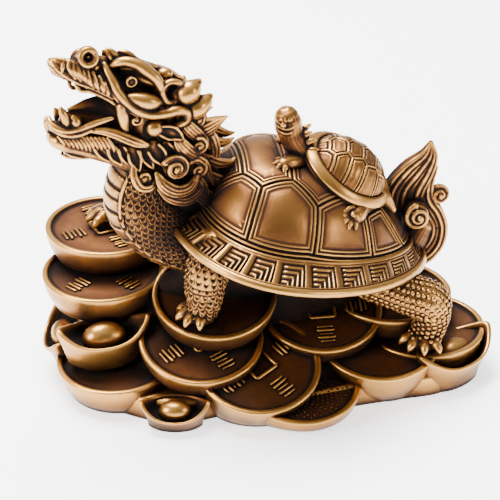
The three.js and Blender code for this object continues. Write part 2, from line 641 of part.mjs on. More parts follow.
// Tail: a flame of strands that rises behind the shell, with two curls at its root
const tailStrands = [
  [[40, 36, 2], [37.4, 46, 2.4], [36.8, 55, 2.4], [41, 61.6, 2], [46, 66, 1.4], [47.9, 69.8, 0.5]],
  [[41.5, 36, 2], [40, 46, 2.4], [40.4, 55, 2.4], [44.4, 61, 2.1], [47.6, 65.6, 1.3], [48.1, 69.8, 0.5]],
  [[43, 36, 2], [42.6, 45, 2.3], [44, 54, 2.4], [47, 60.4, 2], [48.8, 65.4, 1.2], [48.2, 69.8, 0.5]],
  [[43, 31.6, 1.8], [47.4, 32.4, 2], [51, 36.4, 2], [52, 42, 2], [50.6, 47, 2], [47.6, 52, 2], [47.6, 57, 1.6],
    [49.6, 62, 0.8]],
  [[41, 33.6, 1.8], [45.6, 34.8, 2], [48.8, 38.6, 2], [49.4, 43, 2], [47.2, 47.4, 2], [45, 51, 1.6]],
];
const tailCurls = [
  { at: [43.6, -5, 49.3], size: 4.2, start: 20 },
  { at: [50.8, 3.6, 52.8], size: 3.6, start: 160 },
];
const tailCurl = { turns: 1.4, steps: 7 };
const tailRoot = [[34, 1, 38, 6], [42, 1.5, 38.5, 5.4], [46, 2, 43, 4]];
const tailBacking = { at: [47.2, 3.4, 45], radii: [4.6, 1.7, 7.5] };

function tailSolids() {
  const face = vec(0, 1, 0);
  const strands = tailStrands.map((points, i) => {
    const y = tail.y - 1 + 0.5 * (i % 2);
    return strand(points.map(([x, z, r]) => [x, y, z, r]), { sides: 4, flat: tail.thickness, face });
  });
  const curls = tailCurls.flatMap(({ at: [x, y, z], size, start }) => {
    const stations = Array.from({ length: tailCurl.steps + 1 }, (_, i) => {
      const share = i / tailCurl.steps;
      const angle = rad(start) + share * tailCurl.turns * 2 * Math.PI;
      const reach = size * (0.85 - 0.72 * share);
      return [x + Math.cos(angle) * reach, y, z + Math.sin(angle) * reach, size * 0.27];
    });
    const bossRadii = [size * 0.8, Math.abs(y - tail.y) * 0.5 + 1.2, size * 0.8];
    const boss = lump([x, (y + tail.y) / 2, z], bossRadii, undefined, 6);
    return [strand(stations, { sides: 4, flat: 1.3, face }), boss];
  });
  const root = strand(tailRoot, { sides: 8, face });
  return [root, lump(tailBacking.at, tailBacking.radii), ...strands, ...curls];
}

// Small turtle, seated on the dome of the main shell

function littleTurtleSolids() {
  const t = littleTurtle;
  const turn = new THREE.Euler(rad(t.roll), rad(t.pitch), 0, "YXZ");
  const frame = new THREE.Matrix4().makeRotationFromEuler(turn).setPosition(...t.at);
  const place = (x, y, z) => vec(x, y, z).applyMatrix4(frame);
  const at = (share, height) => ring(t.sides, (angle) =>
    place(Math.cos(angle) * t.halfLength * share, Math.sin(angle) * t.halfWidth * share, height));
  const shape = loft([
    at(0.6, -4.6), at(0.97, -0.9), at(1, 0.4), at(t.rimShare + 0.03, 1.7), at(t.rimShare - 0.02, 1.4),
    at(0.68, t.height * 0.55), at(0.35, t.height * 0.9),
  ]);
  const limbs = [...t.limbs, t.tail].map((points) => strand(points, { sides: 5 }));
  const neckAndHead = strand(t.neckAndHead, { sides: 6, face: vec(0, 1, 0) });
  const belly = lump(place(0, 0, -5).toArray(), [10, 8, 5], undefined, 6);
  return [shape, belly, neckAndHead, ...limbs, ...littlePlates(place)];
}

function littlePlates(place) {
  const t = littleTurtle;
  const heightAt = (x, y) => {
    const share = Math.hypot(x / t.halfLength, y / t.halfWidth) / t.rimShare;
    return 1.4 + (t.height - 1.4) * Math.max(0, 1 - share ** 2.2) ** 0.75;
  };
  const plate = (cx, cy, length, width) => {
    const level = (share, lift) => ring(6, (angle) => {
      const x = cx + Math.cos(angle) * length * share;
      const y = cy + Math.sin(angle) * width * share;
      return place(x, y, heightAt(x, y) + lift);
    });
    return loft([level(1, -1.2), level(0.9, 0.45)]);
  };
  const spine = [-7.6, -2.6, 2.4, 7.2].map((x) => plate(x, 0, 2.3, 2.6));
  const ribs = [[-7, 6], [-1.8, 6], [3.4, 6], [8, 4.6]]
    .flatMap(([x, y]) => [y, -y].map((across) => plate(x, across, 2.1, 2.8)));
  return [...spine, ...ribs];
}

// One body: everything joined, and pockets that the joining seals are filled

const groundBlock = { wide: 400, deep: 100 };
function joined(solids) {
  const whole = wasm.Manifold.union(solids);
  const bodies = whole.decompose().filter((body) => body.volume() > 0);
  bodies.sort((a, b) => b.volume() - a.volume());
  const { wide, deep } = groundBlock;
  const ground = new THREE.BoxGeometry(wide, wide, deep).translate(0, 0, -deep / 2);
  return bodies[0].subtract(toSolid(ground));
}

// Fewer triangles: points that hardly shape the surface are merged into a neighbour, cheapest first.
// What a merge costs is the summed squared distance (mm) from the planes of the faces that meet there.
function thinned(solid) {
  const { vertProperties, triVerts } = solid.getMesh();
  const point = Array.from({ length: vertProperties.length / 3 }, (_, i) => vec().fromArray(vertProperties, i * 3));
  const faces = Array.from({ length: triVerts.length / 3 }, (_, i) => [...triVerts.slice(i * 3, i * 3 + 3)]);
  const facesAt = point.map(() => new Set());
  faces.forEach((face, f) => face.forEach((i) => facesAt[i].add(f)));
  const normalOf = ([a, b, c]) => point[b].clone().sub(point[a]).cross(point[c].clone().sub(point[a]));
  const planes = point.map((_, i) => [...facesAt[i]].map((f) => {
    const normal = normalOf(faces[f]).normalize();
    return [normal, -normal.dot(point[i])];
  }));
  const neighbours = (i) => new Set([...facesAt[i]].flatMap((f) => faces[f]).filter((j) => j !== i));
  const cost = (from, to) => planes[from].reduce((sum, [n, d]) => sum + (n.dot(point[to]) + d) ** 2, 0);

  const mayMerge = (from, to) => {
    const near = neighbours(to);
    if ([...neighbours(from)].filter((j) => near.has(j)).length !== 2) return false;
    return [...facesAt[from]].every((f) => {
      if (faces[f].includes(to)) return true;
      const before = normalOf(faces[f]);
      const after = normalOf(faces[f].map((j) => (j === from ? to : j)));
      return after.length() > thinning.leastArea && before.normalize().dot(after.normalize()) > thinning.mostTurn;
    });
  };
  const merge = (from, to) => {
    [...facesAt[from]].forEach((f) => {
      if (faces[f].includes(to)) {
        faces[f].forEach((j) => facesAt[j].delete(f));
        faces[f] = null;
        alive -= 1;
      } else {
        faces[f] = faces[f].map((j) => (j === from ? to : j));
        facesAt[to].add(f);
      }
    });
    facesAt[from].clear();
    planes[to].push(...planes[from]);
  };

  let alive = faces.length;
  for (let allowed = thinning.firstCost; allowed < thinning.lastCost && alive > thinning.triangles; allowed *= 2) {
    for (let i = 0; i < point.length && alive > thinning.triangles; i++) {
      if (facesAt[i].size === 0) continue;
      const [best, price] = [...neighbours(i)].map((j) => [j, cost(i, j)]).sort((a, b) => a[1] - b[1])[0];
      if (price < allowed && mayMerge(i, best)) merge(i, best);
    }
  }
  const left = new Float32Array(point.length * 3);
  point.forEach((p, i) => p.toArray(left, i * 3));
  const geometry = new THREE.BufferGeometry();
  geometry.setAttribute("position", new THREE.BufferAttribute(left, 3));
  geometry.setIndex(faces.filter(Boolean).flat());
  return toSolid(geometry);
}

function meshOf(solid, name, material) {
  const { vertProperties, triVerts } = solid.getMesh();
  const geometry = new THREE.BufferGeometry();
  geometry.setAttribute("position", new THREE.BufferAttribute(vertProperties, 3));
  geometry.setIndex(new THREE.BufferAttribute(triVerts, 1));
  geometry.computeVertexNormals();
  const mesh = new THREE.Mesh(geometry, material);
  mesh.name = name;
  return mesh;
}

const heapSolid = loft(heap.map(([x, y, z, halfLength, halfWidth]) =>
  ring(heapSides, (angle) => vec(x + Math.cos(angle) * halfLength, y + Math.sin(angle) * halfWidth, z))));

function footSolid() {
  const curve = new THREE.CatmullRomCurve3(foot.outline.map(([x, y]) => vec(x, y, 0)), true, "centripetal");
  const outline = new THREE.Shape(curve.getPoints(foot.steps).slice(0, -1));
  return toSolid(new THREE.ExtrudeGeometry(outline, { depth: foot.height, bevelEnabled: false }));
}

const figure = joined([
  heapSolid,
  footSolid(),
  ...Object.values(coins).flatMap(coinSolids),
  ...Object.values(ingots).flatMap(ingotSolid),
  shellBody(),
  ...plateSolids(),
  ...meanderSolids(),
  ...neckSolids(),
  ...allLegs(),
  ...headSolids(),
  ...maneSolids(),
  ...tailSolids(),
  ...littleTurtleSolids(),
]);

const antiqueCopper = new THREE.MeshStandardMaterial({ color: 0x9a6a3c, roughness: 0.38, metalness: 0.75 });

const part = new THREE.Group();
part.add(meshOf(thinned(figure), "dragon_turtle_figure", antiqueCopper));

export default part;
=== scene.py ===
# Dragon turtle figure: the looks of the casting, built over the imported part.
# Sizes are in millimetres until a mesh is made. +X runs from head to tail, the left flank faces -Y.

import math

import bmesh
import bpy
import numpy as np
from mathutils import Matrix, Vector, bvhtree, kdtree


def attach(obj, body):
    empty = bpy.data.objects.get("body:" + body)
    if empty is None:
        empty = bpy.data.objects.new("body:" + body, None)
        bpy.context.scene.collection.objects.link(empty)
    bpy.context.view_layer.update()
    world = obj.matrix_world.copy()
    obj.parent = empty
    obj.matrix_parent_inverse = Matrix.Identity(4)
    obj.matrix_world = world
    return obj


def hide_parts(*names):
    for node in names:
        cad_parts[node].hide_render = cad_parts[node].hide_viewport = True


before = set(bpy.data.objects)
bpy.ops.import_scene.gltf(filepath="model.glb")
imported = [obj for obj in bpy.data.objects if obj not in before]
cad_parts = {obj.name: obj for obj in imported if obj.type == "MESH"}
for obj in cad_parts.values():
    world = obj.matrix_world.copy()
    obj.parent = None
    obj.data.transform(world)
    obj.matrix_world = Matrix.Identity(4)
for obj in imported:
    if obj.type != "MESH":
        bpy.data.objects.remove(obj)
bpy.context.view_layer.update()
mm = 0.001
tau = 2 * math.pi


# Camera, floor and light

view = {
    "target": (-4.4, 0, 39.4), "azimuth": -8, "elevation": 30, "distance": 600, "lens": 149.5, "sensor": 36,
    "clipEnd": 20000,
}
studio = {
    "floor": 6000, "paper": "#FFFFFF", "paperGlow": 1.8, "paperRoughness": 0.9, "paperSheen": 0.1,
    "bright": "#F4F6FA", "dim": "#2A2622", "worldStrength": 0.95,
    "brightSide": (-0.25, 0.45, 0.86), "dimBelow": -0.1, "brightAbove": 0.8, "lampsFace": (0, 0, 40),
}
lamps = {
    "overhead": {"at": (-150, 260, 900), "size": 600, "watts": 40, "tint": "#FFFFFF"},
    "left": {"at": (-800, -300, 420), "size": 360, "watts": 11, "tint": "#FFFAF2"},
    "right": {"at": (760, -520, 380), "size": 300, "watts": 4, "tint": "#FFFFFF"},
}


def linear(hexCode):
    parts = [int(hexCode[i : i + 2], 16) / 255 for i in (1, 3, 5)]
    return [c / 12.92 if c <= 0.04045 else ((c + 0.055) / 1.055) ** 2.4 for c in parts] + [1]


def placed(name, data):
    obj = bpy.data.objects.new(name, data)
    bpy.context.scene.collection.objects.link(obj)
    return obj


def aimed(name, data, place, target):
    obj = placed(name, data)
    obj.location = Vector(place) * mm
    obj.rotation_euler = (Vector(target) * mm - Vector(place) * mm).to_track_quat("-Z", "Y").to_euler()
    return obj


def addNode(tree, kind, inputs=None, **settings):
    node = tree.nodes.new(kind)
    for key, value in settings.items():
        setattr(node, key, value)
    for key, value in (inputs or {}).items():
        if isinstance(value, bpy.types.NodeSocket):
            tree.links.new(value, node.inputs[key])
        else:
            node.inputs[key].default_value = value
    return node


def setCamera():
    data = bpy.data.cameras.new("camera")
    data.lens = view["lens"]
    data.sensor_width = view["sensor"]
    data.clip_end = view["clipEnd"] * mm
    turn, lift = math.radians(view["azimuth"]), math.radians(view["elevation"])
    back = (math.sin(turn) * math.cos(lift), -math.cos(turn) * math.cos(lift), math.sin(lift))
    place = [t + b * view["distance"] for t, b in zip(view["target"], back)]
    bpy.context.scene.camera = aimed("camera", data, place, view["target"])


def setStudio():
    world = bpy.data.worlds.new("studio")
    world.use_nodes = True
    # white walls above and behind, a dim room on the camera's side
    tree = world.node_tree
    way = addNode(tree, "ShaderNodeTexCoord").outputs["Generated"]
    lean = addNode(tree, "ShaderNodeVectorMath", {0: way, 1: studio["brightSide"]}, operation="DOT_PRODUCT")
    span = {"Value": lean.outputs["Value"], "From Min": studio["dimBelow"], "From Max": studio["brightAbove"]}
    lit = addNode(tree, "ShaderNodeMapRange", span, interpolation_type="SMOOTHSTEP")
    shades = {"Factor": lit.outputs[0], 6: linear(studio["dim"]), 7: linear(studio["bright"])}
    walls = addNode(tree, "ShaderNodeMix", shades, data_type="RGBA")
    background = tree.nodes["Background"]
    tree.links.new(walls.outputs[2], background.inputs["Color"])
    background.inputs["Strength"].default_value = studio["worldStrength"]
    bpy.context.scene.world = world
    for name, lamp in lamps.items():
        data = bpy.data.lights.new(name, "AREA")
        data.shape = "DISK"
        data.size = lamp["size"] * mm
        data.energy = lamp["watts"]
        data.color = linear(lamp["tint"])[:3]
        aimed(name, data, lamp["at"], studio["lampsFace"])
    half = studio["floor"] / 2 * mm
    sheet = bpy.data.meshes.new("floor")
    corners = [(-half, -half, 0), (half, -half, 0), (half, half, 0), (-half, half, 0)]
    sheet.from_pydata(corners, [], [(0, 1, 2, 3)])
    paper = bpy.data.materials.new("matt white background paper")
    paper.use_nodes = True
    shader = paper.node_tree.nodes["Principled BSDF"]
    shader.inputs["Base Color"].default_value = linear(studio["paper"])
    shader.inputs["Roughness"].default_value = studio["paperRoughness"]
    shader.inputs["Specular IOR Level"].default_value = studio["paperSheen"]
    # the sheet lies on a light table
    shader.inputs["Emission Color"].default_value = linear(studio["paper"])
    shader.inputs["Emission Strength"].default_value = studio["paperGlow"]
    sheet.materials.append(paper)
    floor = placed("floor", sheet)


setCamera()
setStudio()
print("studio set")


# Finish: casting resin sprayed with copper-bronze metallic paint, washed with umber and rubbed back.
# To the eye: gold on every edge that a cloth reaches, brown metal between, near black in the cuts.

# painted shade is also laid into the colour under overhanging parts, by the long reach below and by the
# pooled relief of the head and neck
patina = {
    # colours, with the share of rubbing at which each is reached
    "wash": "#0D0705", "shade": "#2A170D", "metal": "#56331C", "rubbed": "#885C2F", "bright": "#BD8A45",
    "reached": {"wash": 0.0, "shade": 0.24, "metal": 0.5, "rubbed": 0.74, "bright": 1.0},
    # the unevenness of a sprayed coat and its grain, which is drawn coarser than real flake so that it shows,
    # with the depths of both, how far the wash creeps out of a cut, and how far the long reach goes that
    # finds the wash in deep hollows and paints shade under overhanging parts
    "cloud": 9, "dents": 0.6, "denting": 0.5, "grain": 0.5, "grainDepth": 0.2,
    "cutReach": 1.6, "hollowWashAndShadeReach": 9,
    # what holds the cloth off or lets it reach, with the painted shade of the long reach and of the pooled
    # relief: [least, most, taken off, added]
    "rubbing": {
        "relief": (-1, 1, -0.42, 0.42), "edge": (0.44, 0.56, -0.3, 0.3), "cloud": (0.3, 0.7, -0.1, 0.1),
        "cut": (0.3, 0.95, -0.4, 0.06), "hollowWashAndShade": (0.3, 0.97, -0.52, 0.08),
    },
    "evenRubbing": 0.52,
    # how the surface follows the rubbing: [rubbing from, to, value from, to]
    "metallic": (0.1, 0.55, 0.3, 0.92), "roughness": (0.1, 0.8, 0.85, 0.32),
    "pitting": (0.05, 0.45, 0.9, 0.08), "sheen": 0.2,
}


def antiqueCopper():
    material = bpy.data.materials.new("antique copper paint on cast resin")
    material.use_nodes = True
    tree = material.node_tree
    shader = tree.nodes["Principled BSDF"]
    place = addNode(tree, "ShaderNodeTexCoord").outputs["Object"]
    sources = {
        "relief": addNode(tree, "ShaderNodeAttribute", attribute_name="relief").outputs["Fac"],
        "edge": addNode(tree, "ShaderNodeNewGeometry").outputs["Pointiness"],
    }
    for name, detail in (("cloud", 3), ("grain", 2)):
        noise = {"Vector": place, "Scale": 1 / (patina[name] * mm), "Detail": detail}
        sources[name] = addNode(tree, "ShaderNodeTexNoise", noise).outputs[0]
    # occlusion: the short reach finds the wash in the cuts; the long one finds the wash in deep hollows and
    # also paints shade under overhanging parts and next to the floor
    for name in ("cut", "hollowWashAndShade"):
        reach = {"Distance": patina[name + "Reach"] * mm}
        sources[name] = addNode(tree, "ShaderNodeAmbientOcclusion", reach, samples=6).outputs["AO"]
    # how far the cloth has rubbed each spot back, from the washed cuts (0) to the bright edges (1); painted
    # shade under overhanging parts and in the pooled relief pulls it down as well
    # a range's inputs are, in order, its value, from least, from most, to least and to most
    rubbed = patina["evenRubbing"]
    for name, span in patina["rubbing"].items():
        share = addNode(tree, "ShaderNodeMapRange", dict(enumerate((sources[name], *span)))).outputs[0]
        rubbed = addNode(tree, "ShaderNodeMath", {0: rubbed, 1: share}, operation="ADD").outputs[0]
    ramp = addNode(tree, "ShaderNodeValToRGB", {"Fac": rubbed})
    while len(ramp.color_ramp.elements) < len(patina["reached"]):
        ramp.color_ramp.elements.new(0.5)
    for element, (name, spot) in zip(ramp.color_ramp.elements, patina["reached"].items()):
        element.position = spot
        element.color = linear(patina[name])
    # the cuts are roughcast, the rubbed metal nearly smooth
    metallic, rough, pitted = (
        addNode(tree, "ShaderNodeMapRange", dict(enumerate((rubbed, *patina[name])))).outputs[0]
        for name in ("metallic", "roughness", "pitting"))
    dents = {"Height": sources["cloud"], "Strength": patina["denting"], "Distance": patina["dents"] * mm}
    dented = addNode(tree, "ShaderNodeBump", dents).outputs[0]
    pits = {"Height": sources["grain"], "Strength": pitted, "Distance": patina["grainDepth"] * mm}
    bump = addNode(tree, "ShaderNodeBump", {**pits, "Normal": dented}).outputs[0]
    shader.inputs["Specular IOR Level"].default_value = patina["sheen"]
    finish = {"Base Color": ramp.outputs[0], "Metallic": metallic, "Roughness": rough, "Normal": bump}
    for socket, source in finish.items():
        tree.links.new(source, shader.inputs[socket])
    return material


copper = antiqueCopper()
print("finish mixed")


# Forms: each is (points, four-sided faces, three-sided faces, relief of each point)

def circle(count):
    # evenly spaced angles, once round
    return np.arange(count) / count * tau


def unit(v):
    return v / np.maximum(np.linalg.norm(v, axis=-1, keepdims=True), 1e-9)


def through(stations, steps):
    # a smooth curve through every station, in the given number of steps between two of them
    p = np.array(stations, float)
    ends = np.vstack([2 * p[0] - p[1], p, 2 * p[-1] - p[-2]])
    t = np.linspace(0, len(p) - 1, (len(p) - 1) * steps + 1)
    i = np.minimum(t.astype(int), len(p) - 2)
    f = (t - i)[:, None]
    a, b, c, d = (ends[i + k] for k in range(4))
    return 0.5 * (2 * b + (c - a) * f + (2 * a - 5 * b + 4 * c - d) * f**2 + (3 * b - a - 3 * c + d) * f**3)


def skin(rings, relief=0):
    # rings of points joined one to the next, and closed at both ends
    rings = np.asarray(rings, float)
    n, m = rings.shape[:2]
    first = np.arange(n - 1)[:, None] * m
    j = np.arange(m)
    k = (j + 1) % m
    a, b = first + j, first + k
    quads = np.stack([a, b, b + m, a + m], -1).reshape(-1, 4)
    last = (n - 1) * m
    start = np.stack([k, j, np.full(m, n * m)], -1)
    end = np.stack([last + j, last + k, np.full(m, n * m + 1)], -1)
    points = np.vstack([rings.reshape(-1, 3), rings[0].mean(0), rings[-1].mean(0)])
    level = np.full(n, relief, float)
    level = np.concatenate([np.repeat(level, m), [level[0], level[-1]]])
    return points, quads, np.vstack([start, end]), level


def levelled(form, level):
    # the same form with another relief
    return (*form[:3], level)


def oval(angle, halfX, halfY, z, x=0, y=0):
    # a level ring
    return np.stack([x + np.cos(angle) * halfX, y + np.sin(angle) * halfY, np.full_like(angle, z)], -1)


def swung(across, aside, angle):
    # directions between two that are square to each other
    return across * np.cos(angle)[:, None] + aside * np.sin(angle)[:, None]


def tube(stations, steps=5, face=(0, 0, 1)):
    # a smooth way through the stations: centres, radii, and the directions ahead, across and aside
    path = through(stations, steps)
    ahead = unit(np.gradient(path[:, :3], axis=0))
    across = unit(np.array(face, float) - ahead * (ahead @ np.array(face, float))[:, None])
    return path[:, :3], np.maximum(path[:, 3], 0.06), ahead, across, np.cross(across, ahead)


def sheath(way, sides, flat=1.0):
    # the skin round a way, with a rounded cap of three rings on each end
    centre, radius, ahead, across, aside = way
    cap = np.array([0.35, 0.75, 0.95])
    back = np.sqrt(1 - cap**2)[:, None]
    start = centre[0] - ahead[0] * radius[0] * back
    end = centre[-1] + ahead[-1] * radius[-1] * back
    centre = np.vstack([start, centre, end[::-1]])
    radius = np.concatenate([radius[0] * cap, radius, (radius[-1] * cap)[::-1]])[:, None]
    across, aside = (np.vstack([np.repeat(v[:1], 3, 0), v, np.repeat(v[-1:], 3, 0)]) for v in (across, aside))
    angle = circle(sides)
    wide, high = np.cos(angle) * flat * radius, np.sin(angle) * radius
    return skin(centre[:, None] + across[:, None] * wide[..., None] + aside[:, None] * high[..., None])


def strand(stations, sides, steps=5, flat=1.0, face=(0, 0, 1)):
    return sheath(tube(stations, steps, face), sides, flat)


def blob(at, radii, turn=0, sides=20):
    # an egg with its poles up and down, turned about its upright axis
    rise = np.linspace(-math.pi / 2, math.pi / 2, sides // 2 + 1)[1:-1]
    rings = [oval(circle(sides), np.cos(r), np.cos(r), np.sin(r)) for r in rise]
    points, quads, tris, level = skin(rings)
    points[-2:] = (0, 0, -1), (0, 0, 1)
    turned = np.array(Matrix.Rotation(math.radians(turn), 3, "Z"))
    return (points * np.array(radii)) @ turned.T + np.array(at), quads, tris, level


def together(forms):
    points, quads, tris, levels = zip(*forms)
    starts = np.cumsum([0] + [len(p) for p in points[:-1]])
    quads, tris = (np.vstack([f + s for f, s in zip(faces, starts)]) for faces in (quads, tris))
    return np.vstack(points), quads, tris, np.concatenate(levels)


def meshOf(name, form):
    points, quads, tris, level = form
    mesh = bpy.data.meshes.new(name)
    loops = np.concatenate([quads.ravel(), tris.ravel()]).astype(np.int32)
    sizes = np.concatenate([np.full(len(quads), 4), np.full(len(tris), 3)])
    mesh.vertices.add(len(points))
    mesh.vertices.foreach_set("co", (points * mm).ravel())
    mesh.loops.add(len(loops))
    mesh.loops.foreach_set("vertex_index", loops)
    mesh.polygons.add(len(sizes))
    mesh.polygons.foreach_set("loop_start", np.concatenate([[0], np.cumsum(sizes)[:-1]]).astype(np.int32))
    mesh.update(calc_edges=True)
    setValues(mesh, "relief", level)
    outwards = bmesh.new()
    outwards.from_mesh(mesh)
    bmesh.ops.recalc_face_normals(outwards, faces=outwards.faces)
    outwards.to_mesh(mesh)
    outwards.free()
    mesh.shade_smooth()
    mesh.update()
    return mesh


def setValues(mesh, label, values):
    if label not in mesh.attributes:
        mesh.attributes.new(label, "FLOAT", "POINT")
    mesh.attributes[label].data.foreach_set("value", values.astype(np.float32))


def setDirections(mesh, label, ways):
    new = mesh.attributes.new(label, "FLOAT_VECTOR", "POINT")
    new.data.foreach_set("vector", ways.astype(np.float32).ravel())


def readAll(items, label, width, kind=float):
    values = np.empty(len(items) * width, kind)
    items.foreach_get(label, values)
    return values.reshape(-1, width)


def triangles(mesh):
    return sum(len(p.vertices) - 2 for p in mesh.polygons)


def asPiece(obj):
    obj.data.materials.clear()
    obj.data.materials.append(copper)
    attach(obj, "root")
    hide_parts("dragon_turtle_figure")
    print(obj.name, triangles(obj.data), "triangles")
    return obj


def formPiece(name, form):
    return asPiece(placed(name, meshOf(name, form)))


# Coins and ingots

coin = {"radius": 18, "rim": 1.6, "recess": 1.0, "wall": 9, "footShare": 0.84, "sides": 120}
coins = {
    "underFarForefoot": {"at": (-44.2, 23.5, 38.2), "lean": 0, "toward": 0},
    "secondAtFront": {"at": (-46.2, 11.5, 29.8), "lean": 1, "toward": 200},
    "underForefoot": {"at": (-15.5, -5, 28.8), "lean": 15, "toward": 270},
    "belowForefoot": {"at": (-20.5, -13, 19.5), "lean": 16, "toward": 270},
    "frontCorner": {"at": (-44, -6, 10.6), "lean": 5, "toward": 225, "ground": True},
    "nearFront": {"at": (-5, -21.5, 14.5), "lean": 20, "toward": 270, "ground": True},
    "nearMiddle": {"at": (6.5, -23, 9), "lean": 12, "toward": 285, "ground": True},
    "underBelly": {"at": (16, -4, 21), "lean": 15, "toward": 270},
    "underHindFoot": {"at": (32, -12, 14), "lean": 11, "toward": 268, "ground": True},
    "rearCorner": {"at": (47, -4.5, 12.6), "lean": 0, "toward": 0, "ground": True},
    "underTail": {"at": (38.5, 4, 20), "lean": 0, "toward": 0},
    "farFront": {"at": (-32, 22, 24), "lean": 8, "toward": 110},
    "farFrontLow": {"at": (-30, 22, 11), "lean": 10, "toward": 95, "ground": True},
    "farMiddleHigh": {"at": (2, 14, 24), "lean": 16, "toward": 90},
    "farMiddle": {"at": (5, 22.5, 12), "lean": 14, "toward": 90, "ground": True},
    "farRear": {"at": (32, 17, 11), "lean": 10, "toward": 75, "ground": True},
}
ingotForm = {"beam": 0.56, "tipRise": 0.14, "wall": 0.055, "depth": 0.3, "sides": 96}
ingots = {
    "front": {"at": (-48, -8, 19.8), "length": 27.5, "heading": 6, "lean": 6, "toward": 250, "foot": 11},
    "small": {"at": (-30, -29.5, 6.3), "length": 20, "heading": -8, "lean": 16, "toward": 262,
        "ground": True},
    "rear": {"at": (53.4, -15.8, 9.8), "length": 29, "heading": 34, "lean": 8, "toward": 300,
        "ground": True},
    "corner": {"at": (-59.6, 6.5, 12.6), "length": 22, "heading": 84, "lean": 26, "toward": 186,
        "ground": True},
    "far": {"at": (-13, 33, 8), "length": 21, "heading": 6, "lean": 16, "toward": 96, "ground": True},
}
heap = {
    # the core's ovals: [x, y, height, half length, half width]
    "levels": [(0, 0, 0, 48, 26), (0, 0, 9, 46, 22), (-3, 3, 15, 42, 15), (-6, 5, 24, 36, 11),
        (-1, 1, 33, 26, 9), (4, 0, 43, 24, 12)],
    # the outline of the skirt round its foot
    "foot": [(-58, 2), (-54.5, -7), (-47, -18), (-30, -28), (-15, -26), (1, -30), (15, -28), (24, -26),
        (36, -24.5), (50, -22), (61, -9), (61, 3), (56, 13), (46, 24), (32, 29), (18, 35), (2, 36),
        (-12, 40), (-28, 38), (-45, 31), (-56, 20), (-59, 11)],
    "footHeight": 7, "skirtInside": (0.8, 6.6), "sides": 90,
}


def resting(place, turn=0):
    toward = math.radians(place["toward"])
    axis = Vector((-math.sin(toward), math.cos(toward), 0))
    lean = Matrix.Rotation(math.radians(place["lean"]), 4, axis)
    return Matrix.Translation(place["at"]) @ lean @ Matrix.Rotation(math.radians(turn), 4, "Z")


def moved(matrix, points):
    m = np.array(matrix)
    return np.asarray(points) @ m[:3, :3].T + m[:3, 3]


def grounded(place, rings, share):
    # the two lowest rings of what stands on the ground are drawn down to it
    if place.get("ground"):
        rings[0, :, 2] = 0
        rings[1, :, 2] = rings[2, :, 2] * share
    return rings


def coinForm(place):
    # from the foot up over the wall and rim and in across the floor: [radius, depth, relief]
    r, recess, wall = coin["radius"], coin["recess"], coin["wall"]
    inner = r - coin["rim"]
    # walls that stand on the ground are drawn fully rubbed, which also cancels the painted shade that the
    # long reach takes from the floor
    wornAndUnshaded = 1 if place.get("ground") else 0.25
    profile = [
        (r * coin["footShare"], wall, wornAndUnshaded), (r * 0.92, wall * 0.7, wornAndUnshaded), (r * 0.97, wall * 0.42, wornAndUnshaded),
        (r * 0.993, wall * 0.2, wornAndUnshaded), (r + 0.05, 0.75, 0.7), (r, 0.35, 0.8), (r - 0.2, 0.08, 0.9),
        (r - 0.5, 0, 0.8), (inner + 0.4, 0, 0.7), (inner + 0.1, 0.12, 0.7), (inner - 0.1, 0.45, 0.1),
        (inner - 0.25, recess * 0.9, -0.7), (inner - 0.5, recess, -0.8), (inner - 1.6, recess, -0.35),
        (r * 0.6, recess, -0.2), (r * 0.35, recess, -0.2), (r * 0.1, recess, -0.2),
    ]
    angle = circle(coin["sides"])
    rings = moved(resting(place), [oval(angle, reach, reach, -depth) for reach, depth, _ in profile])
    return skin(grounded(place, rings, 0.55), [relief for *_, relief in profile])


def ingotForms(place):
    # a boat with raised ends, from the foot up over the rim and in: [share, drop, rise, relief]
    length = place["length"]
    half, beam = length / 2, length / 2 * ingotForm["beam"]
    depth = place.get("foot", length * ingotForm["depth"])
    wall = ingotForm["wall"] * 2
    profile = [
        (0.78 if place.get("ground") else 0.5, depth, 0, 0.7), (0.8, depth * 0.75, 0.1, 0.8),
        (0.87, depth * 0.45, 0.35, 0.8), (0.95, depth * 0.2, 0.7, 0.7), (0.995, 0.5, 0.96, 0.7),
        (1, 0.1, 1, 0.9), (0.99, -0.1, 1, 0.9), (1 - wall * 0.5, -0.2, 1, 0.8), (1 - wall, 0, 1, 0.5),
        (0.85, length * 0.03, 0.8, 0.1), (0.78, length * 0.075, 0.5, -0.3), (0.66, length * 0.1, 0.3, -0.6),
        (0.3, length * 0.1, 0.1, -0.3),
    ]
    angle = circle(ingotForm["sides"])
    x, y = np.cos(angle), np.sin(angle)
    rings = []
    for share, drop, rise, _ in profile:
        lift = rise * length * ingotForm["tipRise"] * np.abs(x) ** 3
        rings.append(np.stack([x * half * share, y * beam * share * (1 - 0.35 * x**4), lift - drop], -1))
    matrix = resting(place, place["heading"])
    hull = skin(grounded(place, moved(matrix, rings), 0.5), [relief for *_, relief in profile])
    radii = (length * 0.235, beam * 0.58, length * 0.17)
    points, quads, tris, level = blob((0, 0, -length * 0.05), radii, sides=36)
    return [hull, (moved(matrix, points), quads, tris, level + 0.7)]


def heapForms():
    angle = circle(heap["sides"])
    core = skin([oval(angle, a, b, z, x, y) for x, y, z, a, b in through(heap["levels"], 4)], -1)
    outline = heap["foot"]
    wrapped = through([(x, y, 0) for x, y in outline[-2:] + outline + outline[:2]], 6)[12:-13]
    high = heap["footHeight"]
    rings = [wrapped * (share, share, 0) + (0, 0, z)
             for share, z in ((1, 0), (1, high * 0.8), (0.985, high), heap["skirtInside"])]
    # the skirt is drawn nearly fully rubbed, which also cancels the painted shade that the long reach takes
    # from the floor
    return [core, skin(rings, 0.9)]


def makeHeap():
    forms = [coinForm(place) for place in coins.values()]
    for place in ingots.values():
        forms += ingotForms(place)
    return formPiece("coins_and_ingots", together(forms + heapForms()))


# Turtle shell

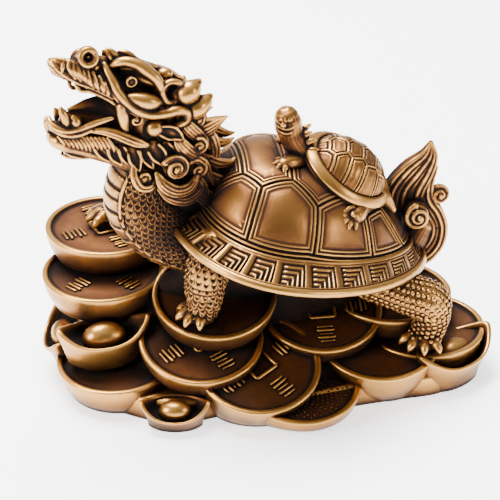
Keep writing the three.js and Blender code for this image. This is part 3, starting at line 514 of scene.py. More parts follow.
shell = {
    "at": (9.4, 0, 44.5), "tilt": 13.9, "halfLength": 39.1, "halfWidth": 37.4, "frontWidth": 0.23,
    "height": 24.3, "apexForward": 9.6, "forwardPower": 1.2, "fullness": 3, "steepness": 0.7,
    "rearFall": 0.75, "sideDroop": -0.93, "borderShare": 0.72, "rearTrim": 0.15, "borderRise": 5.15,
    "rows": 132, "columns": 660, "firstRow": 0.012, "rowsCrowd": 1.7, "edgeSteps": 60, "rimSteps": 900,
    "plateShare": 0.99, "domeShare": 0.999, "under": (0.97, -4),
}
plateCorner = {
    "backToRib1": (-22.6, -9.5), "ribs12": (-18, -15.8), "backToRib2": (-9.5, -13.8), "ribs23": (-2.1, -19.5),
    "backToRib3": (6.4, -13), "ribs34": (13.8, -14.4), "backToRib4": (19, -8.4),
}
borderAngle = {"front": 190, "rib12": 232, "rib23": 273, "rib34": 308, "rear": 336}
# the moulding along each plate's edge: [distance from the edge, height]
plateMoulding = [(0, -0.5), (0.2, -0.42), (0.42, 0.2), (0.8, 0.26), (1.05, 0.08), (1.22, -0.16),
    (1.4, -0.12), (1.62, 0.14), (1.9, 0.14), (2.15, -0.12), (2.5, -0.14), (3.2, 0), (4.4, 0.1), (6, 0.12)]
# how the wash lies along it: [distance from the edge, relief]
plateRelief = [(0, -1), (0.25, -0.9), (0.5, 0.3), (0.9, 0.6), (1.25, -0.6), (1.45, -0.8), (1.75, 0.3),
    (2.0, 0.3), (2.35, -0.8), (3, -0.3), (5, 0.1), (9, 0.2)]
shellMatrix = Matrix.Translation(shell["at"]) @ Matrix.Rotation(math.radians(shell["tilt"]), 4, "Y")


def borderStart(angle):
    return shell["borderShare"] + shell["rearTrim"] * np.maximum(np.cos(angle), 0)


def shellPoint(share, angle, lift=0):
    # a point of the shell, at a share of the way out from the middle of the back
    s = shell
    start = borderStart(angle)
    k = np.minimum(share / start, 1)
    fall = s["steepness"] * (1 + s["rearFall"] * np.maximum(np.cos(angle), 0) * k)
    swell = (1 - k ** s["fullness"]) ** fall
    dome = s["borderRise"] + (s["height"] - s["borderRise"]) * swell
    border = s["borderRise"] * (1 - (share - start) / (1 - start))
    z = np.where(share < start, dome, border) - s["sideDroop"] * (share * np.sin(angle)) ** 2 + lift
    x = s["halfLength"] * share * np.cos(angle) - s["apexForward"] * (1 - share ** s["forwardPower"])
    y = s["halfWidth"] * share * np.sin(angle) * (1 - s["frontWidth"] * np.cos(angle))
    return moved(shellMatrix, np.stack(np.broadcast_arrays(x, y, z), -1))


def shellPlan(share, angle):
    return moved(shellMatrix.inverted(), shellPoint(share, angle))[..., :2]


def shellPolar(x, y):
    # the share of the way out and the angle at a point of the shell's plan
    share, angle = x * 0 + 0.5, np.arctan2(y, x)
    for _ in range(60):
        along = (x + shell["apexForward"] * (1 - share ** shell["forwardPower"])) / shell["halfLength"]
        across = y / (shell["halfWidth"] * (1 - shell["frontWidth"] * np.cos(angle)))
        share = (share + np.minimum(1, np.hypot(along, across))) / 2
        angle = np.arctan2(across, along)
    return share, angle


def mirrored(edges):
    return [((x0, -y0), (x1, -y1)) for (x0, y0), (x1, y1) in edges]


def plateEdges():
    onBorder = {}
    for name, degrees in borderAngle.items():
        angle = np.array(math.radians(degrees))
        onBorder[name] = tuple(shellPlan(borderStart(angle) * shell["plateShare"], angle))
    c, b = plateCorner, onBorder
    chain = [b["front"], *c.values(), b["rear"]]
    edges = list(zip(chain, chain[1:]))
    edges += [(c["ribs" + n], b["rib" + n]) for n in ("12", "23", "34")]
    onBack = [place for name, place in c.items() if name.startswith("back")]
    return edges + mirrored(edges) + [((x, y), (x, -y)) for x, y in onBack]


def edgeSpots(edges, steps):
    return np.array([(x0 + (x1 - x0) * t, y0 + (y1 - y0) * t)
                     for (x0, y0), (x1, y1) in edges for t in np.linspace(0, 1, steps)])


def makeShellPlates():
    s = shell
    between = shellPoint(*shellPolar(*edgeSpots(plateEdges(), s["edgeSteps"]).T))
    rim = circle(s["rimSteps"])
    spots = np.vstack([between, shellPoint(borderStart(rim) * s["plateShare"], rim)])
    tree = kdtree.KDTree(len(spots))
    for i, spot in enumerate(spots):
        tree.insert(spot, i)
    tree.balance()
    angle = circle(s["columns"])
    rows = 1 - (1 - np.linspace(s["firstRow"], 1, s["rows"])) ** s["rowsCrowd"]
    grid = shellPoint(rows[:, None] * borderStart(angle)[None] * s["domeShare"], angle[None])
    beside = np.roll(grid, -1, 1) - np.roll(grid, 1, 1)
    outward = unit(np.cross(np.gradient(grid, axis=0), beside))
    far = np.array([tree.find(p)[2] for p in grid.reshape(-1, 3)]).reshape(grid.shape[:2])
    grid = grid + outward * np.interp(far, *zip(*plateMoulding))[..., None]
    relief = np.interp(far, *zip(*plateRelief))
    share, lift = s["under"]
    under = shellPoint(borderStart(angle) * share, angle, lift)[None]
    level = np.concatenate([relief.ravel(), np.full(s["columns"], -1), [relief[0].mean(), -1]])
    formPiece("shell_plates", levelled(skin(np.concatenate([grid, under])), level))


border = {
    # the meander, in shares of the border's width and of one unit's length
    "units": 24, "shift": 0.62, "firstRow": 0.03, "lastRow": 0.955, "edge": 0.055, "divider": 0.2,
    "strokes": 4, "strokeAcross": 0.1, "strokeAlong": 0.07, "gapAcross": 0.1, "gapAlong": 0.075,
    "margin": 0.06, "least": 0.05, "soft": 0.012,
    # how the bars lean towards the dome, and how far they are followed
    "lean": (0.6, 0.35), "reach": 22,
    # heights in millimetres, and the relief that the wash reads
    "rise": 0.12, "depth": 0.6, "strokeRelief": 0.15, "cutRelief": -1,
    # the bead against the dome: [share past the dome's foot, lift, relief]
    "bead": [(-0.03, -2.5, -1), (0.001, -0.35, -0.9), (0.006, 0.25, 0.5), (0.016, 0.35, 0.7),
        (0.024, 0.25, 0.5), (0.028, -0.2, -0.8)],
    # the rim and the underside: [share, lift, relief]
    "rim": [(0.957, -0.2, -0.6), (0.962, 0.15, 0.2), (0.972, 0.5, 0.5), (0.984, 0.55, 0.7), (0.995, 0.3, 0.6),
        (1.0, -0.2, 0.4), (0.999, -0.8, 0.1), (0.99, -1.3, 0), (0.975, -1.7, -0.1), (0.93, -2.6, -0.3),
        (0.85, -6.5, -0.6), (0.68, -10.5, -0.8), (0.5, -14.5, -1)],
}


def meanderStrokes():
    # in one unit, [across from, across to, along from, along to]; the corner points at the dome and the tail
    b = border
    edge, far = b["edge"], 1 - b["edge"]
    blocks = [(0, 1, 0, b["divider"]), (0, edge, 0, 1), (far, 1, 0, 1)]
    for i in range(b["strokes"]):
        top = edge + b["gapAcross"] * (1 + i) + b["strokeAcross"] * i
        right = 1 - b["margin"] - (b["strokeAlong"] + b["gapAlong"]) * i
        if top + b["strokeAcross"] > far or right - b["strokeAlong"] < b["divider"] + b["least"]:
            break
        blocks.append((top, top + b["strokeAcross"], b["divider"] + b["margin"], right))
        blocks.append((top, far, right - b["strokeAlong"], right))
    return blocks


def acrossBorder(angle):
    # where a bar that starts at each outer angle meets the inner ring
    outer = shellPlan(angle * 0 + border["lastRow"], angle)
    even, more = border["lean"]
    heading = unit(np.stack([-(even - more * np.cos(angle)) * np.cos(angle), -np.sin(angle)], -1))
    short, far = angle * 0, angle * 0 + border["reach"]
    for _ in range(24):
        middle = (short + far) / 2
        share, inward = shellPolar(*(outer + heading * middle[:, None]).T)
        out = share > borderStart(inward) + border["firstRow"]
        short, far = np.where(out, middle, short), np.where(out, far, middle)
    return angle + (inward - angle + math.pi) % tau - math.pi


def strokeEdges(blocks, low, high):
    # where the strokes begin and end, with a soft slope on both sides
    ends = {0.0, 1.0}
    for block in blocks:
        for e in (block[low], block[high]):
            ends |= {round(e + d, 5) for d in (-border["soft"], border["soft"]) if 0 <= e + d <= 1}
    return np.array(sorted(ends))


def makeShellBorder():
    b = border
    blocks = meanderStrokes()
    rows, cells = strokeEdges(blocks, 0, 1), strokeEdges(blocks, 2, 3)[:-1]
    within = lambda spots, least, most: (spots >= least - 1e-6) & (spots <= most + 1e-6)
    high = np.zeros((len(rows), len(cells)), bool)
    for r0, r1, c0, c1 in blocks:
        high |= within(rows, r0, r1)[:, None] & within(cells, c0, c1)
    high = np.tile(high, (1, b["units"]))
    angle = ((np.arange(b["units"])[:, None] + b["shift"] + cells[None]) / b["units"] * tau).ravel()
    inward = acrossBorder(angle)
    bent = inward + (angle - inward) * rows[:, None]
    start = borderStart(inward)
    first = start + b["firstRow"]
    out = first + (b["lastRow"] - first) * rows[:, None]
    band = shellPoint(out, bent, np.where(high, b["rise"], -b["depth"]))
    bead = [shellPoint(start + more, inward, lift) for more, lift, _ in b["bead"]]
    rim = [shellPoint(share + 0 * angle, angle, lift) for share, lift, _ in b["rim"]]
    beadLevel, rimLevel = ([relief for *_, relief in b[part] for _ in angle] for part in ("bead", "rim"))
    bandLevel = np.where(high, b["strokeRelief"], b["cutRelief"]).ravel()
    level = np.concatenate([beadLevel, bandLevel, rimLevel, [-1, -1]])
    formPiece("shell_border", levelled(skin(np.concatenate([bead, band, rim])), level))


makeShellPlates()
makeShellBorder()


# Cast forms: overlapping bodies are fused into one skin, softened and thinned to a number of triangles

# heights of the fine and the broad relief, the steps over which each is taken, and the share of the wash
# that carved surfaces keep where they are flat
carving = {"fine": 0.03, "broad": 0.16, "fineSteps": 5, "broadSteps": 24, "washHeld": 0.45, "soften": 2}


def baked(obj):
    mesh = bpy.data.meshes.new_from_object(obj.evaluated_get(bpy.context.evaluated_depsgraph_get()))
    obj.modifiers.clear()
    obj.data = mesh
    mesh.name = obj.name


def softened(points, edges, steps):
    a, b = edges.T
    count = np.maximum(np.bincount(edges.ravel(), minlength=len(points)), 1)[:, None]
    many = len(points)
    for _ in range(steps):
        total = [np.bincount(a, axis[b], many) + np.bincount(b, axis[a], many) for axis in points.T]
        points = (points + np.stack(total, -1) / count) / 2
    return points


def giveRelief(mesh):
    # how far each point stands over its surroundings, near and far
    c = carving
    points = readAll(mesh.vertices, "co", 3) / mm
    out = readAll(mesh.vertex_normals, "vector", 3)
    edges = readAll(mesh.edges, "vertices", 2, int)
    near = softened(points, edges, c["fineSteps"])
    far = softened(near, edges, c["broadSteps"])
    fine, broad = ((points - base) * out for base in (near, far))
    level = fine.sum(1) / c["fine"] * 0.5 + broad.sum(1) / c["broad"] * 0.5 - c["washHeld"]
    setValues(mesh, "relief", np.clip(level, -1, 1))


def cast(name, forms, size):
    obj = placed(name, meshOf(name, together(forms)))
    fuse = obj.modifiers.new("fuse", "REMESH")
    fuse.mode = "VOXEL"
    fuse.voxel_size = size["grain"] * mm
    fuse.use_smooth_shade = True
    soften = obj.modifiers.new("soften", "SMOOTH")
    soften.factor = 0.5
    soften.iterations = carving["soften"]
    baked(obj)
    faces = triangles(obj.data)
    if faces > size["triangles"]:
        thin = obj.modifiers.new("thin", "DECIMATE")
        thin.ratio = size["triangles"] / faces
        baked(obj)
    obj.data.shade_smooth()
    giveRelief(obj.data)
    return asPiece(obj)


# Shapes set on a surface: each point of the guide says which way is out, which way is along, and how large

def scatterTree():
    tree = bpy.data.node_groups.new("shapes on a surface", "GeometryNodeTree")
    sockets = {"Guide": "Geometry", "Shape": "Object", "Size": "Float", "Turn": "Float", "Uneven": "Float",
        "Seed": "Int", "Finish": "Material"}
    for name, kind in sockets.items():
        tree.interface.new_socket(name=name, in_out="INPUT", socket_type="NodeSocket" + kind)
    tree.interface.new_socket(name="Cast", in_out="OUTPUT", socket_type="NodeSocketGeometry")
    given = addNode(tree, "NodeGroupInput").outputs
    out, along, own = (
        addNode(tree, "GeometryNodeInputNamedAttribute", {"Name": label}, data_type=kind).outputs["Attribute"]
        for label, kind in (("out", "FLOAT_VECTOR"), ("along", "FLOAT_VECTOR"), ("size", "FLOAT")))
    upright = addNode(tree, "FunctionNodeAlignRotationToVector", {"Vector": out}, axis="Z").outputs[0]
    heading = {"Rotation": upright, "Vector": along}
    laid = addNode(tree, "FunctionNodeAlignRotationToVector", heading, axis="X", pivot_axis="Z").outputs[0]
    back = addNode(tree, "ShaderNodeMath", {0: given["Turn"], 1: -1.0}, operation="MULTIPLY").outputs[0]
    either = {2: back, 3: given["Turn"], "Seed": given["Seed"]}
    swing = addNode(tree, "FunctionNodeRandomValue", either, data_type="FLOAT").outputs[1]
    turn = {"Rotation": laid, "Rotate By": addNode(tree, "ShaderNodeCombineXYZ", {"Z": swing}).outputs[0]}
    turned = addNode(tree, "FunctionNodeRotateRotation", turn, rotation_space="LOCAL").outputs[0]
    least = addNode(tree, "ShaderNodeMath", {0: 1.0, 1: given["Uneven"]}, operation="SUBTRACT").outputs[0]
    smaller = {2: least, 3: 1.0, "Seed": given["Seed"]}
    vary = addNode(tree, "FunctionNodeRandomValue", smaller, data_type="FLOAT").outputs[1]
    size = addNode(tree, "ShaderNodeMath", {0: own, 1: given["Size"]}, operation="MULTIPLY").outputs[0]
    scale = addNode(tree, "ShaderNodeMath", {0: size, 1: vary}, operation="MULTIPLY").outputs[0]
    shape = addNode(tree, "GeometryNodeObjectInfo", {"Object": given["Shape"]}).outputs["Geometry"]
    setting = {"Points": given["Guide"], "Instance": shape, "Rotation": turned, "Scale": scale}
    copies = addNode(tree, "GeometryNodeInstanceOnPoints", setting).outputs[0]
    whole = addNode(tree, "GeometryNodeRealizeInstances", {"Geometry": copies}).outputs[0]
    finish = {"Geometry": whole, "Material": given["Finish"]}
    painted = addNode(tree, "GeometryNodeSetMaterial", finish).outputs[0]
    addNode(tree, "NodeGroupOutput", {"Cast": painted})
    return tree


onSurface = scatterTree()


def scattered(name, guide, shape, **settings):
    spots, out, along, size = guide
    mesh = bpy.data.meshes.new(name)
    mesh.vertices.add(len(spots))
    mesh.vertices.foreach_set("co", (spots * mm).ravel())
    setDirections(mesh, "out", out)
    setDirections(mesh, "along", along)
    setValues(mesh, "size", size)
    obj = placed(name, mesh)
    rule = obj.modifiers.new("set on the surface", "NODES")
    rule.node_group = onSurface
    pattern = placed(name + "_shape", shape)
    values = {"Shape": pattern, "Size": 1.0, "Turn": 0.0, "Uneven": 0.0, "Seed": 7, "Finish": copper}
    values.update(settings)
    for socket in onSurface.interface.items_tree:
        if socket.name in values:
            rule[socket.identifier] = values[socket.name]
    baked(obj)
    bpy.data.objects.remove(pattern)
    obj.data.shade_smooth()
    return asPiece(obj)


# a point of the surface counts if it faces the guide's way by this much; a shape leans between the two ways
seat = {"facing": 0.45, "surfaceWay": 0.6, "guideWay": 0.4}


def seated(obj, spots, out, along, size, reach=1.4, sink=0.0):
    # the guide's points, moved onto the surface under them; those that something covers are left out
    tree = bvhtree.BVHTree.FromObject(obj, bpy.context.evaluated_depsgraph_get())
    kept = []
    for spot, away, ahead, s in zip(spots, out, along, size):
        start = Vector((spot + away * reach) * mm)
        place, normal, _, _ = tree.ray_cast(start, Vector(-away), 2 * reach * mm)
        if place is not None and normal.dot(Vector(away)) > seat["facing"]:
            way = np.array(normal) * seat["surfaceWay"] + away * seat["guideWay"]
            kept.append((np.array(place) / mm - away * sink, way, ahead, s))
    return [np.array(column, float) for column in zip(*kept)]


def scaleShape(length, width, thick):
    # a dished shingle, from its root to a raised lip round its free edge: [along, half width, rise]
    stations = [(-0.5, 0.36, -0.15), (-0.1, 0.48, -0.03), (0.22, 0.46, 0.2), (0.44, 0.32, 0.44),
        (0.57, 0.16, 0.5), (0.64, 0.05, 0.25)]
    across = np.array([-1, -0.95, -0.78, -0.45, 0.45, 0.78, 0.95, 1])
    section = np.array([-0.45, -0.05, 0.14, 0, 0, 0.14, -0.05, -0.45])
    lip = np.array([0, 0.5, 1, 0, 0, 1, 0.5, 0])
    rings, level = [], []
    for along, half, rise in stations:
        end = min(max((along - 0.32) / 0.15, 0), 1)
        ring = np.full(8, along * length), across * half * width, (section + rise) * thick
        rings.append(np.stack(ring, -1))
        level.append(-1 + 1.5 * np.maximum(lip * (along > 0), end * (across**2 < 0.95)))
    return levelled(skin(rings), np.concatenate([*level, [-1, 0.4]]))


def pebbleShape():
    form = blob((0, 0, 0), (0.5, 0.5, 0.4), sides=8)
    return levelled(form, np.clip(form[0][:, 2] * 4 - 1, -1, 0.4))


def runOf(line):
    # how far along a line each of its points lies
    return np.concatenate([[0], np.cumsum(np.linalg.norm(np.diff(line, axis=0), axis=1))])


def tubeGuide(stations, pitch, face=(0, 0, 1), lean=1, bare=0):
    # staggered rows round a limb, one row for every share of its length
    centre, radius, ahead, across, aside = tube(stations, 24, face)
    gone = runOf(centre)
    rows = []
    for row, s in enumerate(np.arange(pitch[0] / 2, gone[-1], pitch[0])):
        i = int(np.searchsorted(gone, s))
        many = max(6, int(round(tau * radius[i] / pitch[1])))
        for k in range(many):
            a = (k + 0.5 * (row % 2)) / many * tau
            away = across[i] * math.cos(a) + aside[i] * math.sin(a)
            # the share of the half turn from the front of the limb
            share = abs((a + math.pi / 2 + math.pi) % tau - math.pi) / math.pi
            if share >= bare:
                rows.append((centre[i] + away * radius[i], away, ahead[i] * lean, 1.0))
    return zip(*rows)


def limbGuide(stations, pitch):
    # staggered lines along a limb, evenly spaced on its skin also where it bends
    centre, radius, ahead, across, aside = tube(stations, 24)
    many = int(round(tau * radius.mean() / pitch[1]))
    rows = []
    for k in range(many):
        angle = k / many * tau
        away = across * math.cos(angle) + aside * math.sin(angle)
        line = centre + away * radius[:, None]
        gone = runOf(line)
        for s in np.arange(pitch[0] * (0.5 + 0.5 * (k % 2)), gone[-1], pitch[0]):
            i = int(np.searchsorted(gone, s))
            rows.append((line[i], away[i], ahead[i], 1.0))
    return zip(*rows)


# Marks on the coins' faces: a raised square round the middle and rows of plain strokes, and a stippled floor

# the coins that carry them, and how far each is turned
coinTurns = {"underFarForefoot": 20, "secondAtFront": 40, "belowForefoot": 30, "nearFront": 35,
    "underBelly": 0, "farMiddle": 40}
coinMark = {
    "square": 7.6, "bar": 1.0, "rise": 0.85, "stroke": 5.2, "strokeWide": 0.75, "strokeRise": 0.85,
    # how far out each row's strokes stand, and their share of the full length
    "rows": (7.6, 9.0, 10.4, 11.8, 13.2), "shorter": (0.9, 1, 0.7, 1, 0.8), "turn": 0.06, "seed": 4,
    "reach": 0.8,
}
# dots in the spiral of a sunflower's seeds
stipple = {"coin": "nearMiddle", "many": 380, "reach": 15, "size": 1.05, "washed": 0.7, "step": 2.399963,
    "uneven": 0.5, "seed": 9}


def barForm(start, end, width, rise):
    # a bar with a rounded top between two points of the floor
    start, end = np.array(start, float), np.array(end, float)
    ahead = unit(end - start)
    beside = np.array([-ahead[1], ahead[0], 0])
    side = [(-0.5, -0.3), (-0.46, rise * 0.7), (-0.25, rise)]
    profile = side + [(-a, b) for a, b in reversed(side)]
    rings = []
    for share, swell in ((0, 0.5), (0.06, 1), (0.94, 1), (1, 0.5)):
        middle = start + (end - start) * share
        rings.append([middle + beside * a * width * swell + np.array([0, 0, b]) for a, b in profile])
    form = skin(rings)
    return levelled(form, np.where(form[0][:, 2] > rise * 0.5, 0.75, -1))


def makeCoinMarks(heapPiece):
    m, s = coinMark, stipple
    half = m["square"] / 2
    corners = [(-half, -half, 0), (half, -half, 0), (half, half, 0), (-half, half, 0)]
    sides = zip(corners, corners[1:] + corners[:1])
    square = together([barForm(start, end, m["bar"], m["rise"]) for start, end in sides])
    half = m["stroke"] / 2
    stroke = barForm((-half, 0, 0), (half, 0, 0), m["strokeWide"], m["rise"] * m["strokeRise"])
    pebble = pebbleShape()
    pebble = levelled(pebble, pebble[3] - s["washed"])

    def mark(name, reach=0, angle=0, heading=0, size=1.0):
        # a point on the coin's floor, turned about the coin's middle
        matrix = resting(coins[name], coinTurns.get(name, 0))
        spot = moved(matrix, (reach * math.cos(angle), reach * math.sin(angle), -coin["recess"]))
        way = matrix.to_3x3() @ Vector((math.cos(heading), math.sin(heading), 0))
        return spot, np.array(matrix)[:3, 2], np.array(way), size

    def onCoins(marks):
        return seated(heapPiece, *zip(*marks), reach=m["reach"])

    middles = [mark(name) for name in coinTurns]
    quarters = [quarter * tau / 4 for quarter in range(4)]
    rows = [mark(name, reach, angle, angle + tau / 4, size) for name in coinTurns for angle in quarters
            for reach, size in zip(m["rows"], m["shorter"])]
    dots = [mark(s["coin"], s["reach"] * math.sqrt((k + 0.5) / s["many"]), k * s["step"])
            for k in range(s["many"])]
    scattered("coin_squares", onCoins(middles), meshOf("square", square))
    scattered("coin_strokes", onCoins(rows), meshOf("stroke", stroke), Turn=m["turn"], Seed=m["seed"])
    pebble = meshOf("pebble", pebble)
    scattered("coin_stipple", onCoins(dots), pebble, Size=s["size"], Uneven=s["uneven"], Seed=s["seed"])


# Head: every point is [ahead, to the left, up] from the head's own centre, with a radius as the fourth value

head = {"at": (-33, -2, 84), "yaw": 10, "farDrop": 3.6, "farEarDrop": 2.4, "grain": 0.26, "triangles": 178000}
headTurn = math.radians(head["yaw"])
headAxes = np.array([
    (-math.cos(headTurn), -math.sin(headTurn), 0), (math.sin(headTurn), -math.cos(headTurn), 0), (0, 0, 1)])


def onHead(points, side=1):
    p = np.array(points, float)
    own = p[:, :3] * (1, side, 1)
    if side < 0:
        # the far side hangs lower, but not in the middle of the snout
        own[:, 2] -= head["farDrop"] * np.minimum(p[:, 1] / 3, 1)
    return np.hstack([own @ headAxes + np.array(head["at"]), p[:, 3:]])


def sideways(side=1, up=0.0):
    return tuple(np.array((0, side, up)) @ headAxes)


# skull, snout and jaw: [stations, flatness]
headTrunk = [
    ([[-4, 0, 6, 8], [3, 0, 10.5, 8.6], [9, 0, 14.4, 7.2], [15, 0, 17.4, 5.8], [20.5, 0, 19, 4.6],
        [25, 0, 20.8, 2.2]], 0.45),
    ([[-4, 0, -2, 8.5], [3, 0, -2.6, 9], [10, 0, -0.8, 7.8], [17, 0, 0.2, 6.6], [24, 0, 1, 5],
        [27.4, 0, 2.8, 2.2]], 0.42),
    ([[-3, 0, 0, 8.6], [-3.5, 0, 7.4, 8.2], [1, 0, 12, 6]], 0.95),
    ([[3, 0, -1, 8.6], [2.2, 0, 6.5, 8.4], [4, 0, 12.5, 6.6]], 0.8),
    ([[4, 0, 4, 5], [10, 0, 6, 4.4], [14, 0, 7, 3], [17, 0, 7.4, 2], [20, 0, 7.1, 1.2], [22.4, 0, 6.9, 0.5]],
        0.85),
    ([[6, 0, 3.2, 4], [12, 0, 3.6, 4], [17, 0, 3.4, 3.6], [22.6, 0, 3.4, 2.6]], 1),
    ([[4, 0, 11, 6], [10, 0, 12.2, 4.6], [15, 0, 13.6, 2.8], [18, 0, 14.8, 1.4]], 0.85),
    ([[24, 0, -2, 5], [17, 0, -4.4, 6], [10, 0, -7.4, 6.4], [4, 0, -11, 6.4]], 0.6),
]
